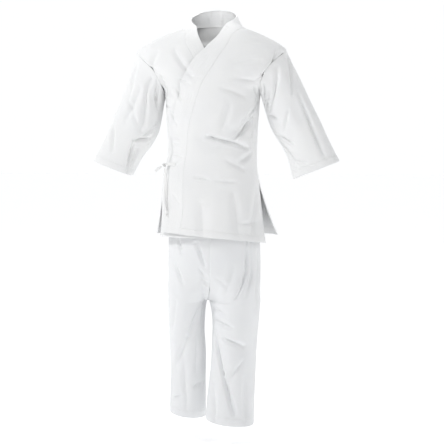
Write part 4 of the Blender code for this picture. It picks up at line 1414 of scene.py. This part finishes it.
def line_at(cloth, edge, distance):
    """Points and normals of the cloth's outer face at one distance in mm from one of its edges."""
    axis = 0 if edge in (0, 1) else 1
    run = cloth["runs"][edge]
    outer, normals = cloth["outer"], cloth["normals"]
    if axis == 1:
        run, outer, normals = run.T, outer.swapaxes(0, 1), normals.swapaxes(0, 1)
    if edge in (1, 3):
        run, outer, normals = run[::-1], outer[::-1], normals[::-1]
    points = []
    facing = []
    for column in range(run.shape[1]):
        row = np.interp(distance, run[:, column], np.arange(len(run)))
        low = min(int(row), len(run) - 2)
        part = row - low
        points.append(outer[low, column] * (1 - part) + outer[low + 1, column] * part)
        facing.append(normals[low, column])
    if cloth["closed"] and axis == 0:
        points.append(points[0])
        facing.append(facing[0])
    return np.array(points), np.array(facing)


def stitched(name, lines):
    """Sew one mesh of stitches along several lines of points and normals."""
    points = []
    faces = []
    turn = np.linspace(0, 2 * np.pi, STITCH_SIDES + 1)[:-1]
    for line, facing in lines:
        run = np.concatenate([[0], np.cumsum(np.linalg.norm(np.diff(line, axis=0), axis=1))])
        for middle in np.arange(STITCH_PITCH / 2, run[-1], STITCH_PITCH):
            ends = np.array([middle - STITCH_LENGTH / 2, middle, middle + STITCH_LENGTH / 2])
            spots = np.stack([np.interp(ends, run, line[:, axis]) for axis in range(3)], axis=1)
            up = np.array([np.interp(middle, run, facing[:, axis]) for axis in range(3)])
            up = up / np.linalg.norm(up)
            side = np.cross(spots[2] - spots[0], up)
            side = side / np.linalg.norm(side)
            start = len(points)
            for spot, size, lift in zip(spots, (0.35, 1.0, 0.35), (-0.15, 0.3, -0.15)):
                for angle in turn:
                    round_off = np.cos(angle) * side + np.sin(angle) * up
                    points.append(spot + up * lift * THREAD_HALF * 2 + round_off * THREAD_HALF * size)
            for ring in (start, start + STITCH_SIDES):
                for place in range(STITCH_SIDES):
                    after = (place + 1) % STITCH_SIDES
                    quad = (ring + place, ring + after)
                    faces.append((*quad, ring + STITCH_SIDES + after, ring + STITCH_SIDES + place))
            faces.append(tuple(range(start, start + STITCH_SIDES))[::-1])
            faces.append(tuple(range(start + 2 * STITCH_SIDES, start + 3 * STITCH_SIDES)))
    corners = np.array(points)[np.concatenate(faces)]
    print(f"{name}: {len(points) // (3 * STITCH_SIDES)} stitches")
    return on_body(mesh_object(name, points, faces, corners[:, [0, 2]], THREAD))


print("stitches over 100 mm:", round(100 / STITCH_PITCH))

# %% [markdown]
# ## Placing a piece on the model
# Each piece of cloth takes the place of its CAD solid and rides on the part's one body.


# %% Dressing
def dress(cloth, node_name):
    """Put a piece of cloth in its solid's place and let it ride on the part's one body."""
    made = cloth["made"]
    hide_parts(node_name)
    on_body(made)
    return made


# %% [markdown]
# ## The jacket's back and fronts
# The back and the two fronts are cut in canvas, sewn at the shoulders and sides and left open in a vent
# below the waist, where the hip moves. The left front lies over the right. All three read the same
# creases, so a crease that crosses a seam runs on.

# %% Back and fronts
HEM = 24.0
VENT_HEM = 13.0
MIDDLE = (0, 0, -350)

back = back_sheet()
over = front_sheet(OVER_BAND, OVER_SIDE_HEM, 1, "over")
under = front_sheet(UNDER_BAND, UNDER_HEM, -1, "under")
body_look = {"creases": JACKET_CREASES, "scale": BODY_DEGREE, "period": 360.0, "material": CANVAS}
back_cloth = make_cloth("back", back, {**body_look, "hems": (HEM, 0.0, VENT_HEM, VENT_HEM)}, MIDDLE)
over_cloth = make_cloth("over_front", over, {**body_look, "hems": (HEM, 0.0, 0.0, VENT_HEM)}, MIDDLE)
under_look = {**body_look, "hems": (HEM, 0.0, 0.0, VENT_HEM), "share": 0.8}
under_cloth = make_cloth("under_front", under, under_look, MIDDLE)

back_made = dress(back_cloth, "jacket_back")
over_made = dress(over_cloth, "jacket_front_over")
under_made = dress(under_cloth, "jacket_front_under")

# %% [markdown]
# ## The collar band
# The band is a long strip of drill folded over a core and quilted with parallel rows, so it is stiffer
# than the jacket and stands up round the neck. The rows could be a texture, but quilting catches light
# along each rib, so the rows are real grooves.

# %% Collar
BAND_ROWS = 6
BAND_PROUD = 1.0
BAND_WALL = 3.0
QUILT_DEPTH = 0.55
QUILT_HALF = 1.4


def band_quilting(runs):
    """Grooves along the band, at even parts of its width."""
    width = runs[2] + runs[3]
    part = runs[2] / width
    dips = 0.0
    for row in range(BAND_ROWS):
        off = (part - (row + 0.5) / BAND_ROWS) * width
        dips = dips - QUILT_DEPTH * np.exp(-((off / QUILT_HALF) ** 2))
    return dips


collar = collar_sheet()
collar_look = {
    **body_look,
    "creases": JACKET_CREASES + BAND_CREASES,
    "share": 0.6,
    "hems": (0.0, 0.0, 0.0, 0.0),
    "proud": BAND_PROUD,
    "wall": BAND_WALL,
    "quilting": band_quilting,
    "step": 2.4,
    "material": DRILL,
}
collar_cloth = make_cloth("collar", collar, collar_look, MIDDLE)
collar_made = dress(collar_cloth, "jacket_collar")

# %% [markdown]
# ## The sleeves
# Each sleeve is a tube set into the dropped armhole, with a wide turned cuff. The cloth buckles where
# the sleeve leaves the body and again inside the elbow.

# %% Sleeves
CUFF_HEM = 26.0
arms = (
    ("left", over, 0, SLEEVE_LEFT, SLEEVE_LEFT_FOLDS, SLEEVE_LEFT_CREASES),
    ("right", under, -1, SLEEVE_RIGHT, SLEEVE_RIGHT_FOLDS, SLEEVE_RIGHT_CREASES),
)
sleeve_cloths = {}
for side, front, column, sections, folds, creases in arms:
    sleeve, sleeve_length = sleeve_sheet(front["grid"][:, -1], back["grid"][:, column], sections, folds)
    sleeve_look = {
        "creases": in_mm(creases, sleeve_length),
        "scale": SLEEVE_DEGREE,
        "period": 360.0,
        "hems": (0.0, CUFF_HEM, None, None),
        "material": CANVAS,
    }
    centre = sleeve["grid"].mean(axis=(0, 1))
    cloth = make_cloth("sleeve_" + side, sleeve, sleeve_look, centre, closed=True)
    dress(cloth, "jacket_sleeve_" + side)
    sleeve_cloths[side] = cloth

# %% [markdown]
# ## The trousers
# The legs are cut in a lighter canvas. They hang from the waistband's casing under the jacket and break
# in creases behind the knee and above the hem.

# %% Trousers
LEG_HEM = 30.0
WAISTBAND_PROUD = 1.5

left_leg = leg_sheet(LEG_LEFT, 1, LEG_LEFT_FOLDS)
right_leg = leg_sheet(LEG_RIGHT, -1, LEG_RIGHT_FOLDS)
gusset = gusset_sheet(left_leg["grid"], right_leg["grid"])
waistband = waistband_sheet()
leg_cloths = {}
waist_look = {"creases": (), "scale": 1.0, "hems": (0.0, 0.0, None, None), "proud": WAISTBAND_PROUD}
waist_look |= {"material": TROUSER_CANVAS, "wall": SHELL_WALL + WAISTBAND_PROUD}
waist_cloth = make_cloth("waistband", waistband, waist_look, (0, 0, WAIST), closed=True)
waist_made = dress(waist_cloth, "trouser_waistband")
for side, leg, creases in (("left", left_leg, LEG_LEFT_CREASES), ("right", right_leg, LEG_RIGHT_CREASES)):
    leg_look = {"creases": creases, "scale": LEG_DEGREE, "material": TROUSER_CANVAS}
    leg_look["hems"] = (0.0, LEG_HEM, 0.0, 0.0)
    cloth = make_cloth("leg_" + side, leg, leg_look, leg["grid"].mean(axis=(0, 1)))
    dress(cloth, "trouser_leg_" + side)
    leg_cloths[side] = cloth
gusset_look = {"creases": (), "scale": 1.0, "hems": (0.0, 0.0, 0.0, 0.0), "material": TROUSER_CANVAS}
gusset_cloth = make_cloth("gusset", gusset, gusset_look, (0, 0, CROTCH_START))
dress(gusset_cloth, "trouser_gusset")

# %% [markdown]
# ## Rows of stitching
# Each hem is held by two rows 7.5 mm apart, one of them at the turned edge, and each vent by one row.
# The band has its quilting rows. A row could follow a drawn curve, but here it is read off the cloth at
# a fixed distance from the edge, as a machine's guide keeps it, so it dips into every crease.

# %% Sewing
SECOND_ROW = 7.5


def hem_rows(cloth, edge, hem):
    """The two rows of stitches that hold a hem."""
    return [line_at(cloth, edge, hem - ROW_IN), line_at(cloth, edge, hem - ROW_IN - SECOND_ROW)]


def below_vent(line):
    """The part of a side edge's row of stitches that lies below the vent's top."""
    points, facing = line
    kept = points[:, 2] < VENT_TOP
    return points[kept], facing[kept]


back_lines = hem_rows(back_cloth, 0, HEM)
back_lines += [below_vent(line_at(back_cloth, edge, VENT_HEM - ROW_IN)) for edge in (2, 3)]
stitched("back_stitches", back_lines)
for cloth, where, slot_name in (
    (over_cloth, "over", "jacket_front_over"),
    (under_cloth, "under", "jacket_front_under"),
):
    lines = hem_rows(cloth, 0, HEM)
    lines.append(below_vent(line_at(cloth, 3, VENT_HEM - ROW_IN)))
    stitched(where + "_front_stitches", lines)
for side, cloth in sleeve_cloths.items():
    stitched("sleeve_" + side + "_stitches", hem_rows(cloth, 1, CUFF_HEM))
for side, cloth in leg_cloths.items():
    stitched("leg_" + side + "_stitches", hem_rows(cloth, 1, LEG_HEM))
band_width = float((collar_cloth["runs"][2] + collar_cloth["runs"][3]).mean())
band_lines = [line_at(collar_cloth, 2, band_width * (row + 0.5) / BAND_ROWS) for row in range(BAND_ROWS)]
stitched("collar_stitches", band_lines)

# %% [markdown]
# ## The side tie
# The wrap is held by a flat cotton tape, sewn to the over front's edge and knotted at the wearer's right
# side. One end is short and the other hangs down, finished with a small knot against fraying. The CAD
# has plain round tubes here, and the tape follows the same points. It is swept as a flat strip, because
# a round cord would look like string.

# %% Tie
TAPE_WIDTH = 10.5
TAPE_THICK = 1.3
TAPE_EDGE_ANGLE = 60
TIE_TAB_WALL = 1.5
SEAM_GAP = 0.3
KNOT_AT = (-157.6, -68.7, -463.2)
KNOT_REACH = 8.6
TIP_AT = (-145.7, -95.0, -628.5)
TIP_REACH = 4.6
LONG_END = (
    (-157.0, -73.0, -473.5),
    (-155.5, -77.0, -479.0),
    (-153.0, -81.0, -488.0),
    (-151.0, -84.0, -502.0),
    (-150.0, -86.0, -520.0),
    (-149.5, -87.5, -540.0),
    (-149.0, -89.0, -562.0),
    (-148.0, -91.0, -586.0),
    (-147.0, -93.0, -606.0),
    (-146.0, -94.5, -622.0),
)
SHORT_END = (
    (-165.8, -70.8, -468.3),
    (-174.0, -72.5, -473.0),
    (-181.0, -74.0, -478.5),
    (-187.0, -75.0, -485.0),
)
# The strip's section, as parts of its half width and half thickness
SECTION = ((1, 0.0), (0.94, 0.8), (0.5, 1), (-0.5, 1), (-0.94, 0.8), (-1, 0.0))
SECTION += ((-0.94, -0.8), (-0.5, -1), (0.5, -1), (0.94, -0.8))


# %% [markdown]
# ## Sweeping a tape
# The tape's section is a thin rounded strip that is carried along its route and turned to face outwards.
# A knot is the same tape, run once round a closed trefoil.

# %% Tape and knot makers
def evenly(route, count):
    """Points at even steps along a smooth curve through the route's points."""
    route = np.array(route, dtype=float)
    run = np.concatenate([[0], np.cumsum(np.linalg.norm(np.diff(route, axis=0), axis=1))])
    places = np.linspace(0, run[-1], count)
    return np.stack([read_curve(run, route[:, axis], places) for axis in range(3)], axis=1)


def tape_strip(name, points, facing, widths, thick, looped=False):
    """Sweep a flat tape along points, its broad side turned to face each given direction."""
    count = len(points)
    if looped:
        along = np.roll(points, -1, axis=0) - np.roll(points, 1, axis=0)
    else:
        along = np.gradient(points, axis=0)
    along = along / np.linalg.norm(along, axis=1, keepdims=True)
    side = np.cross(along, facing)
    side = side / np.linalg.norm(side, axis=1, keepdims=True)
    up = np.cross(side, along)
    rings = []
    for across, over_it in SECTION:
        rings.append(points + side * (across * widths / 2)[:, None] + up * over_it * thick / 2)
    rings = np.stack(rings, axis=1)
    sides = len(SECTION)
    faces = []
    uv = []
    run = np.concatenate([[0], np.cumsum(np.linalg.norm(np.diff(points, axis=0), axis=1))])
    for ring in range(count if looped else count - 1):
        after = (ring + 1) % count
        for place in range(sides):
            following = (place + 1) % sides
            faces.append((ring * sides + place, ring * sides + following))
            faces[-1] += (after * sides + following, after * sides + place)
            low, high = SECTION[place][0] * TAPE_WIDTH / 2, SECTION[following][0] * TAPE_WIDTH / 2
            end = run[ring] + np.linalg.norm(points[after] - points[ring])
            uv += [(low, run[ring]), (high, run[ring]), (high, end), (low, end)]
    if not looped:
        for ring, turn in ((0, -1), (count - 1, 1)):
            faces.append(tuple(ring * sides + place for place in range(sides))[::turn])
            uv += [(SECTION[place][0], run[ring]) for place in range(sides)][::turn]
    return on_body(mesh_object(name, rings, faces, uv, TAPE, TAPE_EDGE_ANGLE))


KNOT_POINTS = 72


def knot(name, centre, reach, width, thick):
    """A tight overhand knot: the tape runs once round a trefoil."""
    t = np.linspace(0, 2 * np.pi, KNOT_POINTS + 1)[:-1]
    bend = np.stack([np.sin(t) + 2 * np.sin(2 * t), -np.sin(3 * t), np.cos(t) - 2 * np.cos(2 * t)], axis=1)
    body = (reach - width * 0.45) / 3
    points = bend * body * np.array((1.0, 1.6, 1.0)) + np.array(centre)
    facing = bend + np.array((0.0, 0.4, 0.0))
    return tape_strip(name, points, facing, np.full(len(t), width), thick, looped=True)


# %% [markdown]
# ## Making the tie
# The tape is gathered where it enters the knots and twists half round on its way down. The tab under
# the knot lies on the band and is made from the band's own form.

# %% The tie's pieces
TAPE_GATHERED = 5.0
LONG_POINTS = 40
SHORT_POINTS = 14
HALF_TWIST = 2.2
SHORT_FACING = (-0.35, -0.9, 0.25)

outward = ring_point(BODY, -60.0, -540.0)[1]
beside = (-outward[1], outward[0], 0)
long_points = evenly(LONG_END, LONG_POINTS)
sway = np.linspace(0, 1, LONG_POINTS)
twist = HALF_TWIST * sway
turned = np.outer(np.cos(twist), outward) + np.outer(np.sin(twist) * 0.5, beside)
widths = (TAPE_GATHERED, TAPE_WIDTH, TAPE_WIDTH, TAPE_GATHERED)
gathered = np.interp(sway, (0, 0.12, 0.94, 1), widths)
long_end = tape_strip("tie_long", long_points, turned, gathered, TAPE_THICK)
short_points = evenly(SHORT_END, SHORT_POINTS)
short_widths = np.interp(np.linspace(0, 1, SHORT_POINTS), (0, 0.3, 1), widths[:3])
short_facing = np.tile(SHORT_FACING, (SHORT_POINTS, 1))
short_end = tape_strip("tie_short", short_points, short_facing, short_widths, TAPE_THICK)
main_knot = knot("tie_knot_wraps", KNOT_AT, KNOT_REACH, 6.0, 2.6)
tip_knot = knot("tie_tip_wraps", TIP_AT, TIP_REACH, 3.4, 1.6)
for made, node_name in (
    (long_end, "tie_long_end"),
    (short_end, "tie_short_end"),
    (main_knot, "tie_knot"),
    (tip_knot, "tie_tip"),
):
    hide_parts(node_name)

TAB_ANGLES = (-58.0, -40.0)
TAB_HEIGHTS = (-466.0, -455.0)
tab_angles = np.linspace(*TAB_ANGLES, 7)[None, :]
tab_heights = np.linspace(*TAB_HEIGHTS, 3)[:, None]
tab = sheet_of(torso(tab_angles, tab_heights, "over"), tab_heights, tab_angles)
tab_look = {
    **collar_look,
    "material": TAPE,
    "proud": BAND_PROUD + SEAM_GAP + TIE_TAB_WALL,
    "wall": TIE_TAB_WALL,
    "quilting": None,
    "step": 3.4,
}
tab_cloth = make_cloth("tie_tab_tape", tab, tab_look, MIDDLE)
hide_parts("tie_tab")
on_body(tab_cloth["made"])

# %% [markdown]
# ## Studio
# The photo is a cut-out on white, lit softly from the upper left, so that each crease has a dark side.
# Such pictures are taken over a white acrylic table lit from below, in a room that is bright behind the
# garment and dim in front. A lamp at the upper left draws the creases, and two weak ones in front fill
# them. A picture of a sky would light it evenly, but then white cloth would lose its creases. The
# table lies where the wearer's soles would be.

# %% Light and floor
FLOOR_DROP = 0.09
TABLE_GLOW = 0.4
ROOM_FRONT = 0.34
ROOM_BACK = 1.02
floor_z = SOLID_BOX[0][2] - FLOOR_DROP
floor_mesh = bpy.data.meshes.new("floor")
TABLE_REACH = 30.0
signs = ((-1, -1), (1, -1), (1, 1), (-1, 1))
corners = [(x * TABLE_REACH, y * TABLE_REACH, floor_z) for x, y in signs]
floor_mesh.from_pydata(corners, [], [(0, 1, 2, 3)])
floor = bpy.data.objects.new("floor", floor_mesh)
bpy.context.scene.collection.objects.link(floor)

paper = bpy.data.materials.new("matt white acrylic table, lit from below")
paper.use_nodes = True
tree = paper.node_tree
tree.nodes.clear()
grain_place = node(tree, "ShaderNodeTexCoord")
grain = node(
    tree, "ShaderNodeTexNoise", {"Scale": 3.0, "Detail": 4.0}, {"Vector": grain_place.outputs["Object"]}
)
paper_tone = node(
    tree,
    "ShaderNodeMix",
    {"data_type": "RGBA", 6: linear("#F7F7F7"), 7: linear("#F3F3F4")},
    {0: grain.outputs["Fac"]},
)
glow = {"Roughness": 0.9, "Emission Strength": TABLE_GLOW}
paper_links = {"Base Color": paper_tone.outputs[2], "Emission Color": paper_tone.outputs[2]}
paper_shader = node(tree, "ShaderNodeBsdfPrincipled", glow, paper_links)
node(tree, "ShaderNodeOutputMaterial", (), {"Surface": paper_shader.outputs[0]})
floor_mesh.materials.append(paper)

# %% [markdown]
# ## The room and its lamps
# The room's light rises from dim in front to bright behind. It could be a picture of a studio, but a
# plain rise from one value to the other gives the same soft light and can be read.

# %% Room and lamps
world = bpy.data.worlds.new("studio")
bpy.context.scene.world = world
world.use_nodes = True
tree = world.node_tree
way = node(tree, "ShaderNodeTexCoord")
axes = node(tree, "ShaderNodeSeparateXYZ", (), {0: way.outputs["Generated"]})
rise = {"From Min": -0.25, "From Max": 0.25, "To Min": ROOM_FRONT, "To Max": ROOM_BACK}
level = node(tree, "ShaderNodeMapRange", rise, {"Value": axes.outputs["Y"]})
tree.nodes["Background"].inputs["Color"].default_value = linear("#FDFEFF")
tree.links.new(level.outputs["Result"], tree.nodes["Background"].inputs["Strength"])

# Columns place, size in metres, watts
LIGHTS = (
    ((-2.3, -1.4, 2.1), 0.7, 50.0),
    ((2.6, -2.8, 0.9), 1.6, 8.0),
    ((0.4, -2.6, 1.6), 0.8, 11.0),
)
AIM = (0.0, 0.0, -0.6)


def add_lamp(name, kind, place, target, settings):
    """Put a light at a place, turned to its target."""
    light = bpy.data.lights.new(name, kind)
    for key, value in settings.items():
        setattr(light, key, value)
    lamp = bpy.data.objects.new(name, light)
    lamp.location = place
    lamp.rotation_euler = (Vector(target) - Vector(place)).to_track_quat("-Z", "Y").to_euler()
    bpy.context.scene.collection.objects.link(lamp)


for number, (place, size, watts) in enumerate(LIGHTS):
    add_lamp(f"soft_box_{number}", "AREA", place, AIM, {"energy": watts, "size": size})

# A narrow light from above reaches the inside of the neck, as light bounced off a ceiling does
NECK_LIGHT_AT = (0.06, -0.85, 0.9)
NECK_AIM = (0.0, 0.08, -0.02)
NECK_LIGHT = {"energy": 36.0, "spot_size": math.radians(11.0), "spot_blend": 0.8}
NECK_LIGHT |= {"shadow_soft_size": 0.08}
add_lamp("neck_light", "SPOT", NECK_LIGHT_AT, NECK_AIM, NECK_LIGHT)
bpy.context.scene.view_settings.view_transform = "Standard"
print("lamps:", len(LIGHTS) + 1, "table at, m:", round(floor_z, 3))

# %% The solids' box
print("solids", SOLID_BOX)
